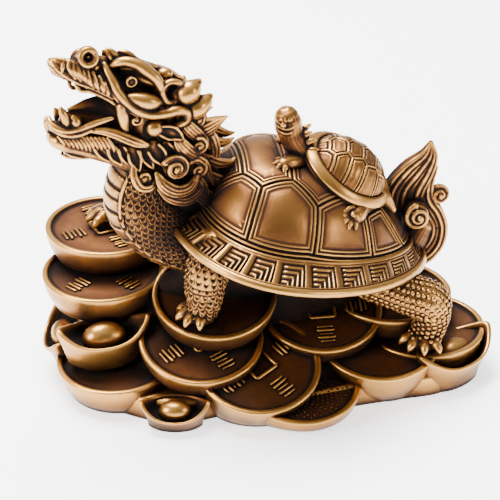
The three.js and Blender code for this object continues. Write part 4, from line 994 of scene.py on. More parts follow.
# bundles of cords: [cords, backing share, stations]
headBundles = {
    "upperRidge": (2, 0, [[26.4, 1.5, 22.7, 0.7], [25.4, 3, 21, 0.8], [22.8, 4.2, 18.6, 0.8],
        [19.7, 5, 16.7, 0.8], [16.8, 5.8, 15.5, 0.8], [13.9, 6.6, 13.9, 0.8], [11.4, 7.4, 12.3, 0.7]]),
    "gumEdge": (1, 0, [[20.9, 4.2, 16, 0.5], [19.7, 4.6, 14.3, 0.6], [17.5, 5.2, 14.1, 0.6],
        [14.9, 5.8, 12.9, 0.6], [12.4, 6.6, 11.4, 0.6], [10.2, 7.6, 9.7, 0.6], [8, 8.4, 8.3, 0.5],
        [5.5, 9.2, 7.1, 0.4]]),
    "snoutTop": (4, 0.95, [[27, 1, 22.6, 0.7], [25.3, 2, 22.1, 1.7], [22.9, 3, 21.1, 2.1],
        [20.2, 3.4, 19.6, 1.7]]),
    "rib1": (1, 0, [[23.6, 3, 22.4, 0.55], [24.1, 3.6, 21.4, 0.6], [24.3, 3.8, 20.2, 0.4]]),
    "rib2": (1, 0, [[22.3, 3.6, 22.6, 0.6], [22.5, 4.4, 21, 0.6], [21, 4.8, 18.3, 0.5]]),
    "rib3": (1, 0, [[21.3, 3.9, 22.2, 0.6], [21.3, 4.8, 20.4, 0.65], [19.6, 5.2, 17.6, 0.5]]),
    "rib4": (1, 0, [[20.3, 4.2, 21.8, 0.6], [20, 5.2, 19.8, 0.7], [18.1, 5.6, 16.8, 0.5]]),
    "rib5": (1, 0, [[19.1, 4.5, 21.2, 0.6], [18.8, 5.6, 18.8, 0.7], [17.2, 5.8, 16.1, 0.5]]),
    "rib6": (1, 0, [[17.9, 4.8, 20.5, 0.6], [17.6, 5.9, 17.8, 0.7], [16.3, 6.1, 15.5, 0.5]]),
    "rib7": (1, 0, [[16.4, 5.4, 19.3, 0.6], [15.9, 6.3, 16.8, 0.7], [15, 6.4, 14.7, 0.5]]),
    "rib8": (1, 0, [[14.8, 5.8, 18, 0.6], [14.1, 6.7, 15.4, 0.7], [13.8, 6.7, 14, 0.5]]),
    "rib9": (1, 0, [[13.5, 6.4, 16.4, 0.55], [12.8, 7, 13.9, 0.6], [12.6, 7, 12.8, 0.4]]),
    "cheekBand": (1, 0, [[12.7, 3.6, 20.4, 0.7], [12.2, 5, 18.7, 0.9], [11.2, 6.6, 16.5, 1.05],
        [10.4, 7.6, 14.3, 1.1], [8.9, 8.6, 12, 1.1], [7.2, 9.4, 10.2, 1.1], [4.9, 10.2, 8.5, 1.15],
        [2, 10.7, 7.4, 1.15], [-1.9, 11, 7.3, 1.2], [-4.8, 11, 7.6, 1.25], [-7.3, 10.6, 6.9, 1.2],
        [-8.2, 10.3, 5.4, 1.1], [-7.8, 10.2, 4, 1], [-6.4, 10.4, 3.2, 0.9], [-4.4, 10.6, 2.6, 0.7]]),
    "cheekEdge": (1, 0, [[12.2, 7, 14.6, 0.3], [10.8, 8, 12.2, 0.5], [8.8, 9, 9.8, 0.55],
        [6.4, 9.8, 7.8, 0.5], [4.4, 10.2, 6.8, 0.3]]),
    "brow": (1, 0, [[10.6, 4, 20.2, 0.7], [9.2, 4.4, 21, 1.05], [7.1, 5.2, 21.4, 1.2], [4.4, 6.2, 20.6, 1.3],
        [2, 7.2, 18.8, 1.35], [-0.3, 8.2, 16.6, 1.3], [-1.3, 8.8, 14, 1], [-1.3, 9, 12.4, 0.5]]),
    "browUpper": (2, 0.8, [[7.8, 2.8, 20.6, 0.8], [5.8, 3.6, 20.8, 1.2], [3, 4.6, 19.8, 1.3],
        [0.4, 5.6, 17.8, 1.1], [-1.2, 6.6, 15.6, 0.7]]),
    "cheek": (1, 0, [[8.4, 8.2, 12.4, 0.5], [6.4, 8.7, 12, 1.4], [3.8, 9, 11.1, 2], [1.2, 9.2, 10.3, 1.9],
        [-1.2, 9, 9.8, 1]]),
    "earBand": (1, 0, [[-6, 9.2, 10.4, 0.6], [-4.6, 9.4, 9.2, 0.75], [-2.8, 9.4, 9.8, 0.8],
        [-1.8, 9.2, 11.9, 0.8], [-2, 9, 14, 0.75], [-3.8, 8.8, 15.2, 0.75], [-6, 8.8, 14.9, 0.8],
        [-7.6, 9, 13.4, 0.8], [-8.2, 9.2, 11.2, 0.8], [-8.1, 9.4, 9, 0.8], [-8.6, 9.6, 6.9, 0.8]]),
    "lobeHigh": (1, 0, [[-6.8, 8, 10.4, 1.8], [-8, 8.4, 11, 2.6], [-9.6, 8.2, 11.9, 2.7],
        [-11, 7.8, 12.7, 2], [-12.2, 7.4, 13.4, 1]]),
    "lobeLow": (1, 0, [[-8.6, 8.2, 5.4, 1.8], [-10.4, 8.2, 6.1, 2.6], [-12.4, 8, 7, 2.6],
        [-14.2, 7.8, 7.9, 1.8], [-15.4, 7.4, 8.6, 0.9]]),
    "backSpike": (5, 0.9, [[-11, 8.2, -1, 2.6], [-14, 8, -0.4, 2.7], [-17, 7.5, 0.4, 2],
        [-20.6, 7, 1.5, 0.4]]),
    "lockA": (5, 0.9, [[-6.4, 9.6, 4.7, 1.1], [-8.2, 10, 1.9, 2], [-10.8, 9.6, -1.2, 2],
        [-13.6, 8.8, -4.1, 1.2], [-15, 8, -7.2, 0.4]]),
    "lockB": (5, 0.9, [[-4.9, 10.4, -0.2, 1], [-6.4, 11, -3.2, 2], [-9, 10.6, -6.2, 2],
        [-12.5, 9.6, -8.5, 1.3], [-15.4, 8.4, -9.3, 0.4]]),
    "lockC": (4, 0.9, [[1, 11.4, -10.7, 0.8], [-0.7, 12.2, -14, 1.8], [-4.3, 12.4, -16.4, 2],
        [-8.2, 12, -16, 1.8], [-10.8, 11, -13.1, 0.8]]),
    "lockE": (4, 0.9, [[0, 9.6, -16.4, 0.8], [-3, 10.8, -18.8, 1.8], [-7.3, 11, -20.1, 2],
        [-10.9, 10.4, -18.8, 1.7], [-14, 9, -16.6, 0.6]]),
    "lockF": (3, 0.9, [[-8.7, 10.6, -9.3, 0.6], [-10.8, 10.4, -8.5, 1.3], [-12.9, 10, -10.6, 1.5],
        [-14.2, 9.2, -14.3, 1.3], [-16.3, 8, -18.7, 0.4]]),
    "lockG": (4, 0.9, [[-13.5, 7.4, -0.8, 1], [-15.9, 7, -4.4, 1.9], [-16.8, 6.6, -8.5, 2],
        [-16.5, 6.6, -12.2, 1.6], [-17.8, 6, -15.6, 0.4]]),
    "lockH": (4, 0.9, [[-9.5, 9.6, -12.7, 0.8], [-11.5, 9.6, -16.2, 1.8], [-12.8, 9, -20.2, 1.9],
        [-13.2, 8.4, -23.7, 1.2], [-14.6, 7.6, -26.6, 0.4]]),
    "crestFront": (2, 0.9, [[11.7, 2, 24.4, 0.4], [10.7, 2.4, 23.3, 1.3], [9.5, 2.8, 21.5, 1.6],
        [8.5, 3, 20.3, 1]]),
    "crestBack": (2, 0.9, [[8.2, 2.4, 23.3, 0.4], [6.7, 2.8, 22.3, 1.4], [5.2, 3.2, 20.8, 1.7],
        [4.2, 3.4, 19.3, 1]]),
    "noseRidge": (3, 0.9, [[19, 0.6, 20.4, 0.8], [15, 0.8, 19.8, 1.6], [11, 1, 19.4, 1.8], [7, 1.4, 18.8, 2],
        [3, 2, 17.8, 2.2], [-1, 2.4, 16, 2.2]]),
    "crownLock": (5, 0.95, [[1, 2.6, 16.4, 1.4], [-3, 3, 14.8, 2.4], [-7, 3.2, 11.6, 2.8], [-11, 3, 7, 2.6],
        [-14, 2.8, 1.6, 1.8], [-16.4, 2.6, -4, 0.5]]),
    "crownSide": (5, 0.95, [[1, 4.6, 15.2, 1.2], [-3, 5.4, 13.6, 2.2], [-7, 5.6, 10.2, 2.5],
        [-11, 5.2, 5, 2.3], [-14.4, 4.6, -1, 0.6]]),
    "sideLock": (5, 0.95, [[-5.4, 6.2, 8.4, 1.6], [-8.6, 6.4, 5, 2.4], [-11.4, 6.2, 0.6, 2.5],
        [-13, 6, -4.6, 2], [-15.4, 5.6, -9.6, 0.5]]),
    "browBack": (2, 0.95, [[7.6, 3, 18, 1.4], [4.4, 4, 17.6, 2.3], [1, 5, 15.8, 2.4],
        [-1.6, 5.8, 13.4, 1.4]]),
    "lockD": (2, 0.8, [[7.1, 9.6, -8.6, 0.7], [7, 10.2, -11.8, 1.1], [5.4, 10.5, -14.6, 1.2],
        [2.6, 10.6, -14.9, 1.1], [0.8, 10.4, -13, 0.6]]),
    "lowerLip": (1, 0, [[28.2, 1.2, 5.6, 0.7], [27.8, 3, 4.6, 0.8], [26.2, 4.4, 3.7, 0.8],
        [23.7, 5.2, 3.1, 0.8], [20.5, 5.9, 3.6, 0.8], [16.7, 6.9, 5.2, 0.8], [13.9, 7.6, 6.1, 0.7],
        [12.2, 8, 6.5, 0.5]]),
    "underLip": (1, 0, [[27.8, 3.2, 3.4, 0.5], [25.7, 4.7, 2.3, 0.6], [23.6, 5.5, 1.8, 0.6],
        [21, 6.2, 2, 0.6], [17.8, 7, 3.2, 0.5]]),
    "jawBand": (3, 0.8, [[18.4, 6.8, 3, 0.6], [14.6, 7.8, 2.9, 1.2], [11.2, 8.6, 1.7, 1.4],
        [8.5, 9.2, 0.3, 1.5], [5.6, 9.7, -1.2, 1.4], [3.1, 9.9, -2.3, 0.8]]),
    "frontTooth": (1, 0, [[23.6, 3.6, 4, 1.2], [24.1, 3.6, 6, 1.25], [24.7, 3.6, 8, 1],
        [25.2, 3.5, 9.3, 0.5]]),
    "sideTooth": (1, 0, [[20.8, 4.4, 3.2, 1.1], [21.2, 4.5, 4.6, 1.3], [21.6, 4.5, 5.8, 1.2],
        [22, 4.4, 6.4, 0.8]]),
    "fang": (1, 0, [[9.4, 8, 9.4, 1.5], [9.3, 8.5, 6.6, 1.4], [8.9, 8.6, 4, 1], [8, 8.5, 1.7, 0.2]]),
    "chinBand": (1, 0.8, [[24.2, 2.8, -4.6, 0.4], [22.4, 3.2, -5.6, 0.55], [19.6, 3.6, -6.4, 0.6],
        [16.4, 4.6, -6, 0.4]]),
}
headLeaves = {
    "leaf1": [[12.6, 7.6, -2.6, 1.6], [11.8, 7.9, -5, 1.7], [10.6, 8.1, -7, 1], [9.9, 8.2, -8.4, 0.3]],
    "leaf2": [[6.9, 8.8, -4.4, 1.9], [6.4, 9.1, -6.6, 2], [5.8, 9.4, -8.6, 1.2], [5.3, 9.5, -10.2, 0.3]],
    "leaf3": [[1.4, 9.7, -3.4, 2.2], [0, 10.1, -5.6, 2.4], [-1, 10.5, -7.6, 1.5], [-1.4, 10.6, -9.6, 0.3]],
    "between01": [[16.4, 6.6, -2.4, 1.2], [15.2, 7, -4.2, 1.4], [13.9, 7.2, -5.8, 1],
        [12.8, 7.2, -7.2, 0.3]],
    "between12": [[9.8, 7.9, -3.2, 1.3], [9, 8.2, -5.4, 1.5], [8, 8.4, -7.4, 1], [7, 8.4, -9, 0.3]],
    "between23": [[4, 8.8, -3.8, 1.4], [3.2, 9.1, -6.2, 1.7], [2.2, 9.4, -8.4, 1.1], [1.2, 9.4, -10.2, 0.3]],
    "behind3": [[-2.4, 9.6, -3.4, 1.4], [-3.8, 10, -5.6, 1.7], [-5, 10.2, -7.4, 1.1], [-6.4, 10.2, -9, 0.3]],
    "starLeaf": [[-0.4, 10.4, 2.1, 1.6], [-3.1, 11, 1.3, 2.3], [-5, 11.2, 0.2, 1.7], [-7, 11, -1.7, 0.3]],
}
# curls: [ahead, left, up, size, turns, start in degrees, way round]
headCurls = [
    (-11.6, 9, 2.7, 2.3, 1.5, 60, 1), (-11.5, 10.2, -4.6, 2.9, 1.6, 100, 1),
    (-4.4, 11.4, -9.6, 4.4, 1.8, 150, 1), (-11.2, 10.4, -11.8, 2.8, 1.5, 80, 1),
    (4.4, 9.8, -12.1, 2.9, 1.6, 170, -1), (5.9, 9.4, 5.6, 2.1, 1.2, 30, 1),
]
# lumps: [place, half sizes]
headLumps = {
    "nostril": ((16.4, 1.6, 21.4), (2.6, 1.6, 2.6)),
    "nostrilFoot": ((16.2, 3.4, 20), (2.4, 1.6, 1.6)),
    "noseBridge": ((15, 1.6, 19.8), (5, 2.4, 2.6)),
    "eye": ((6.4, 7, 16.2), (1.5, 1.3, 1.5)),
    "crown": ((-2.4, 4, 12.6), (3.6, 3.6, 3)),
    "hornStub": ((-3.7, 4.8, 15.9), (2.2, 1.8, 1.7)),
    "hornFoot": ((-3.6, 5.6, 14.2), (2.4, 1.8, 1.1)),
    "jawHinge": ((0.6, 9.6, 2.4), (2.6, 1.9, 2.4)),
    "lipKnob": ((27.2, 1.6, 3.4), (1.3, 1.4, 1.7)),
}
# rings of cord: [place, how far they look up, radius, cord]
headRings = {
    "nostril": ((17.2, 4.4, 23.5), 0.35, 2.1, 0.95),
    "nostrilBase": ((17.1, 3, 22.9), 0.35, 2.1, 1.1),
    "eye": ((6.5, 8.2, 16.4), 0, 1.3, 0.32),
}
nostrilCurl = {"sink": 0.8, "size": 1.5, "turns": 1, "start": 120}
# ribs down the jaw: the first one's top and foot, how both move on to the last one, and the bow between
jawRibs = {
    "many": 13, "top": (26.4, 3.9, 1.2, 0.34), "topRun": (-12.8, 3.9, 0, 0), "topBend": (0, 0, -0.6, 0),
    "foot": (23.8, 3.4, -4, 0.3), "footRun": (-12, 3.9, -0.8, 0), "bow": (-0.5, 0.6, 0, 0.18),
}
# how cords lie side by side, and the flat cord behind them, in shares of the bundle's half width
cord = {
    "overlap": 1.15, "proud": 0.3, "backingDrop": 0.2, "backingWide": 0.96, "backingThick": 0.6,
    "sides": 8, "thick": 1.2, "thickSides": 20, "leaf": 0.42,
}
# a curl's spiral, knob and backing disc, in shares of its size
curl = {
    "steps": 22, "reach": 0.86, "windIn": 0.74, "windPower": 0.85, "foot": 0.04, "rise": 0.3, "cord": 0.21,
    "taper": 0.08, "knob": 0.17, "knobRise": 0.36, "sink": 0.2,
    "disc": [(-0.35, 0.6), (0, 0.82), (0.16, 0.6)],
}


def cords(stations, many, backing, face, steps=5, thin=None):
    # cords laid side by side, the middle ones a little proud, over a thin backing
    centre, half, ahead, across, aside = tube(stations, steps, face)

    def laid(offset, lift, radius):
        return centre + aside * offset[:, None] + across * lift[:, None], radius, ahead, across, aside

    c, forms = cord, []
    for i in range(many):
        spot = (i + 0.5) / many * 2 - 1
        radius = np.minimum(half, thin) if thin else half / many * c["overlap"]
        reach = spot * (half - radius) / (1 - 1 / many) if many > 1 else half * 0
        sides = c["sides"] if radius.max() < c["thick"] else c["thickSides"]
        forms.append(sheath(laid(reach, half * c["proud"] * (1 - spot**2), radius), sides))
    if backing:
        behind = laid(half * 0, -half * c["backingDrop"], half * c["backingWide"])
        forms.append(sheath(behind, 12, backing * c["backingThick"]))
    return forms


def curlForms(place, out, up, size, turns, start, hand, many=2):
    # a spiral that winds in to a knob; its plane faces outwards and its middle stands proud
    c = curl
    place, out = np.array(place), unit(np.array(out, float))
    up = unit(np.array(up, float) - out * np.dot(out, up))
    right = np.cross(up, out)
    share = np.linspace(0, 1, c["steps"])
    angle = math.radians(start) + hand * share * turns * tau
    reach = size * (c["reach"] - c["windIn"] * share ** c["windPower"])
    proud = size * (c["foot"] + c["rise"] * share)
    spots = place + swung(right, up, angle) * reach[:, None] + out * proud[:, None]
    width = size * (c["cord"] - c["taper"] * share)
    forms = cords(np.hstack([spots, width[:, None]]), many, 0.8, out, steps=2)
    forms.append(blob(place + out * size * c["knobRise"], [size * c["knob"]] * 3, sides=10))
    base = place - out * size * c["sink"]
    spokes = swung(right, up, circle(20))
    forms.append(skin([base + out * (size * d) + spokes * (size * r) for d, r in c["disc"]]))
    return forms


def ringForm(place, out, radius, thick):
    # a closed ring of cord, made as a strand whose ends overlap
    out = unit(np.array(out, float))
    right = unit(np.cross((0, 0.3, 1), out))
    angle = np.linspace(0, tau * 1.02, 24)
    spots = np.array(place) + swung(right, np.cross(out, right), angle) * radius
    return strand(np.hstack([spots, np.full((24, 1), thick)]), 8, 2, face=tuple(out))


def jawRibForms(side):
    r = {name: np.array(value) for name, value in jawRibs.items()}
    forms = []
    for t in np.arange(r["many"]) / (r["many"] - 1):
        top, foot = r["top"] + r["topRun"] * t + r["topBend"] * t * t, r["foot"] + r["footRun"] * t
        forms += cords(onHead([top, (top + foot) / 2 + r["bow"], foot], side), 1, 0, sideways(side))
    return forms


def headForms():
    forms = [strand(onHead(points), 28, flat=flat) for points, flat in headTrunk]
    for side in (1, -1):
        out = sideways(side)
        spotOf = lambda place: onHead([place], side)[0]
        for name, (many, backing, stations) in headBundles.items():
            drop = head["farEarDrop"] if side < 0 and name == "lobeHigh" else 0
            forms += cords(onHead(np.array(stations) - (0, 0, drop, 0), side), many, backing, out)
        for stations in headLeaves.values():
            forms += cords(onHead(stations, side), 2, 0.5, out, thin=cord["leaf"])
        for *place, size, turns, start, hand in headCurls:
            begin = start if side > 0 else 180 - start
            forms += curlForms(spotOf(place), out, (0, 0, 1), size, turns, begin, -hand * side)
        for place, radii in headLumps.values():
            forms.append(blob(spotOf(place), radii, head["yaw"]))
        for place, up, radius, thick in headRings.values():
            forms.append(ringForm(spotOf(place), sideways(side, up), radius, thick))
        place, up = headRings["nostril"][:2]
        out, n = sideways(side, up), nostrilCurl
        inside = spotOf(place) - np.array(out) * n["sink"]
        forms += curlForms(inside, out, (0, 0, 1), n["size"], n["turns"], n["start"], side, 1)
        forms += jawRibForms(side)
    return forms


# painted shade, with some wash, laid where the head shades itself: in the mouth and the eye, under the jaw
# and chin, behind the crown and down the mane and the back of the neck: [ahead, left, up, reach, depth]
pooledShade = [
    (13, 0, 8, 9.5, 1.5), (5, 0, 6, 9, 1), (0, 8, 1, 5, 0.5), (2, 6, -8, 6.5, 0.6), (-12, 3, -12, 10, 0.6),
    (6.4, 6, 16, 4.4, 0.9), (23, 2, -4, 5, 0.7), (-8, 8, -12, 13, 0.75), (-4, 7, -28, 18, 1),
    (6, 7, -6, 5, 0.6), (-5, 8, 12.4, 2.6, 0.9), (-12, 8, -24, 9, 0.8),
]


def paintPooledShade(obj):
    # lowers the relief inside each pool, which paints shade there
    points = readAll(obj.data.vertices, "co", 3) / mm
    level = readAll(obj.data.attributes["relief"].data, "value", 1)[:, 0]
    for side in (1, -1):
        for *place, reach, depth in pooledShade:
            away = np.linalg.norm(points - onHead([place], side)[0], axis=1)
            # full near its middle and gone at its reach; one on the middle line is met from both sides
            level -= depth * np.clip(1.4 - away / reach * 1.4, 0, 1) / (1 if place[1] else 2)
    setValues(obj.data, "relief", np.clip(level, -1, 1))


def makeHead():
    # painted shade in the mouth and the eye and under the jaw
    paintPooledShade(cast("head", headForms(), head))


# Neck, with the mane's mass and the tufts behind it

neck = {
    "grain": 0.32, "triangles": 82000, "scale": (2.65, 2.5, 1.05), "pitch": (1.5, 2.1), "sink": 0.05,
    "turn": 0.12, "uneven": 0.12, "seed": 3,
    "stations": [(-10, 0, 41, 8.6), (-20, 0, 44.6, 10), (-29, -0.3, 50.4, 11), (-34.6, -0.6, 57.6, 10.9),
        (-34.9, -0.8, 64, 10.2), (-32.5, -1, 70, 9.6), (-31, -1.5, 76, 9), (-32, -2, 84, 8)],
}
maneMass = [[-3, 0, 4, 8.2], [-7, 0, -3, 9.2], [-8, 0, -12, 9.8], [-8.5, 0, -20, 9], [-11, 0, -28, 6]]
maneTufts = [
    [[-14, 7, -10, 1.6], [-18, 6.6, -12.6, 1.6], [-21.4, 6, -13.4, 1.1], [-23.6, 5.4, -12.4, 0.3]],
    [[-13, 7.4, -14, 1.6], [-17, 7, -17, 1.6], [-20.6, 6.4, -18.6, 1.1], [-23, 5.8, -18.4, 0.3]],
    [[-11, 8.4, -18, 1.6], [-14.6, 8.2, -21.4, 1.6], [-18, 7.6, -23.4, 1.1], [-20.6, 7, -23.6, 0.3]],
    [[-9, 9.6, -15.6, 1.5], [-10.6, 9.8, -19.6, 1.6], [-13.6, 9.2, -22.6, 1.2], [-16.4, 8.6, -23.4, 0.4]],
    [[-15, 5, -6, 1.8], [-18.6, 4.4, -7.6, 1.7], [-21.6, 3.6, -8, 1.1], [-24, 3, -7.4, 0.3]],
    [[-16, 1.6, -3, 1.8], [-19.4, 1.2, -5.4, 1.7], [-22.6, 0.8, -7, 1.1], [-25, 0.4, -7.2, 0.3]],
    [[-15, 2, -12, 2], [-19, 1.8, -15.4, 1.9], [-22.4, 1.2, -17.6, 1.3], [-25, 0.8, -18.4, 0.4]],
    [[-14, 3, -19, 2], [-18, 2.8, -22.4, 1.9], [-21.4, 2.2, -24.6, 1.2], [-24, 1.8, -25.4, 0.4]],
]
throat = {
    "halfAngle": 50, "plates": 15, "from": 0.06, "to": 0.84, "rise": 0.45, "inside": 1.2, "edge": 0.5,
    # one plate: [share of its length, share of its rise]
    "profile": [(0, -0.8), (0.07, 0.15), (0.25, 0.75), (0.6, 1), (0.93, 1.1), (1, -0.4)],
}


def throatForms():
    # broad smooth plates down the front of the neck, with a cord along each side
    t = throat
    centre, radius, _, across, aside = tube(neck["stations"], 24, (0, 1, 0))
    last = len(centre) - 1
    half = math.radians(t["halfAngle"])
    turn = np.linspace(-half, half, 15) - math.pi / 2
    step = (t["to"] - t["from"]) / t["plates"]
    forms = []
    for k in range(t["plates"]):
        rings = []
        for share, rise in t["profile"]:
            i = int(round((t["from"] + step * k + step * share) * last))
            outer = swung(across[i], aside[i], turn) * (radius[i] + t["rise"] * rise)
            inner = swung(across[i], aside[i], turn[::-1]) * (radius[i] - t["inside"])
            rings.append(np.vstack([centre[i] + outer, centre[i] + inner]))
        forms.append(skin(rings))
    chosen = np.arange(int(t["from"] * last), int(t["to"] * last), 8)
    thick = np.full((len(chosen), 1), t["edge"])
    for side in (-1, 1):
        angle = side * half - math.pi / 2
        line = centre + (across * math.cos(angle) + aside * math.sin(angle)) * (radius[:, None] + 0.2)
        forms.append(strand(np.hstack([line[chosen], thick]), 8, 3))
    return forms


def makeNeck():
    n = neck
    forms = [strand(n["stations"], 36, face=(0, 1, 0)), strand(onHead(maneMass), 28, face=sideways())]
    forms += throatForms()
    for side in (1, -1):
        for stations in maneTufts:
            forms += cords(onHead(stations, side), 3, 0.8, sideways(side))
    body = cast("neck_and_mane", forms, n)
    # painted shade under the head and down the mane
    paintPooledShade(body)
    guide = tubeGuide(n["stations"], n["pitch"], (0, 1, 0), -1, throat["halfAngle"] / 180)
    guide = seated(body, *guide, sink=n["sink"])
    scale = meshOf("scale", scaleShape(*n["scale"]))
    # the neck's scales get the same painted shade
    paintPooledShade(scattered("neck_scales", guide, scale, Turn=n["turn"], Uneven=n["uneven"], Seed=n["seed"]))


# Legs: shingles on the fore legs, pebbles on the hind legs

def onCoin(name, x, y, lift):
    return tuple(moved(resting(coins[name]), [(x, y, lift - coin["recess"])])[0])


legs = {
    "grain": 0.36, "triangles": 58000, "shingle": (2.5, 2.3, 1.1), "shinglePitch": (1.6, 2.2), "pebble": 1.85,
    "pebblePitch": (1.6, 1.75), "sink": 0.05, "turn": 0.2, "uneven": 0.3, "seed": 5,
}
limbs = {
    "nearFore": {
        "joints": [(-16.6, -15, 50, 6.4), (-19.4, -17, 40.4, 5.6), (-19.6, -15.5, 33, 4.6)],
        "foot": (*onCoin("underForefoot", -4.6, -8.8, 2.6), 4), "heading": 205, "toes": 4, "spread": 105,
    },
    "farFore": {
        "joints": [(-13, 15.5, 49.5, 7.2), (-26, 20, 47, 6.6), (-37, 22.5, 44, 4.8)],
        "foot": (*onCoin("underFarForefoot", 2, 1, 3.2), 4.2), "heading": 185, "toes": 3, "spread": 70,
    },
    "nearHind": {
        "joints": [(27, -13.6, 36.5, 6.4), (38, -16.4, 31.4, 5.6), (45.2, -17, 28, 5.8), (46, -17, 22.8, 5)],
        "foot": (*onCoin("underHindFoot", 12.6, -4.5, 3.6), 4.2), "heading": 238, "toes": 4, "spread": 110,
    },
    "farHind": {
        "joints": [(27, 13.6, 36.5, 6.4), (38, 16.4, 31.4, 5.6), (44, 17, 28.4, 5.8), (42.6, 17, 23.6, 5)],
        "foot": (*onCoin("farRear", 8, 0.5, 5), 4.2), "heading": 150, "toes": 3, "spread": 80,
    },
}
# [share of the reach, lift, radius]
toe = {
    "reach": 7, "knuckles": [(0.1, 0.8, 2.2), (0.45, 1.1, 2.1), (0.74, 0.5, 1.6)],
    "claw": [(0.6, 0.7, 1.4), (0.84, 0.5, 1.35), (1.02, -0.5, 0.95), (1.1, -1.5, 0.25)],
}


def legForms(limb):
    x, y, z, _ = limb["foot"]
    forms = [strand(limb["joints"] + [limb["foot"]], 24, 8)]
    forms += [blob(joint[:3], joint[3:] * 3) for joint in limb["joints"][2:]]
    for i in range(limb["toes"]):
        turn = math.radians(limb["heading"] + limb["spread"] * (i / (limb["toes"] - 1) - 0.5))
        aheadX, aheadY = math.cos(turn) * toe["reach"], math.sin(turn) * toe["reach"]
        for part in ("knuckles", "claw"):
            stations = [(x + aheadX * share, y + aheadY * share, z + lift, r) for share, lift, r in toe[part]]
            forms.append(strand(stations, 14))
    return forms


def makeLegs():
    body = cast("legs", [form for limb in limbs.values() for form in legForms(limb)], legs)
    for name, limb in limbs.items():
        stations = limb["joints"] + [limb["foot"]]
        if name.endswith("Fore"):
            guide, shape, size = tubeGuide(stations, legs["shinglePitch"]), scaleShape(*legs["shingle"]), 1.0
        else:
            guide, shape, size = limbGuide(stations, legs["pebblePitch"]), pebbleShape(), legs["pebble"]
        guide = seated(body, *guide, sink=legs["sink"])
        scattered(name + "_scales", guide, meshOf("scale", shape), Size=size, Turn=legs["turn"],
            Uneven=legs["uneven"], Seed=legs["seed"])


# Tail: a flame of cords behind the shell, with two curls at its root

tail = {
    "y": 1.5, "halfWidth": 0.7, "cords": 3, "grain": 0.26, "triangles": 78000,
    "root": [[34, 1, 38, 6], [42, 1.5, 38.5, 5.4], [46, 2, 43, 4]],
    "rootLump": ((47.2, 3.4, 45), (4.6, 1.7, 7.5)),
    # curls: [x, y, z, size, start in degrees, way round, cords]
    "curls": [(43.6, -5, 49.3, 4.3, 100, 1, 3), (51, 1, 53, 3.8, 200, -1, 2)],
    "curlTurns": 1.9, "curlsFace": (0.05, -1, 0.1), "middle": 2.5,
}
# locks of the flame: [x, z, radius]
tailFlame = [
    [[40, 36, 2.2], [37.4, 46, 2.5], [36.8, 55, 2.5], [41, 61.6, 2.2], [46, 66, 1.5], [47.9, 69.8, 0.5]],
    [[41.5, 36, 2.2], [40, 46, 2.5], [40.4, 55, 2.5], [44.4, 61, 2.2], [47.6, 65.6, 1.4], [48.1, 69.8, 0.5]],
    [[43, 36, 2.2], [42.6, 45, 2.4], [44, 54, 2.5], [47, 60.4, 2.1], [48.8, 65.4, 1.3], [48.2, 69.8, 0.5]],
    [[43, 31.6, 2], [47.4, 32.4, 2.2], [51, 36.4, 2.1], [52, 42, 2.1], [50.6, 47, 2.1], [47.6, 52, 2.1],
        [47.6, 57, 1.7], [49.6, 62, 0.8]],
    [[41, 33.6, 1.9], [45.6, 34.8, 2.1], [48.8, 38.6, 2.1], [49.4, 43, 2.1], [47.2, 47.4, 2.1],
        [45, 51, 1.6]],
]


def makeTail():
    t = tail
    forms = [strand(t["root"], 24, face=(0, 1, 0)), blob(*t["rootLump"])]
    for side in (-1, 1):
        for points in tailFlame:
            stations = [(x, t["y"] + side * t["halfWidth"], z, r) for x, z, r in points]
            forms += cords(stations, t["cords"], 0.95, (0, side, 0))
    for x, y, z, size, start, hand, many in t["curls"]:
        forms += curlForms((x, y, z), t["curlsFace"], (0, 0, 1), size, t["curlTurns"], start, hand, many)
        # a lump joins the curl to the tail
        thick = abs(y - t["middle"]) * 0.5 + 1.2
        forms.append(blob((x, (y + t["middle"]) / 2, z), (size * 0.8, thick, size * 0.8)))
    cast("tail", forms, t)


# Small turtle on the dome

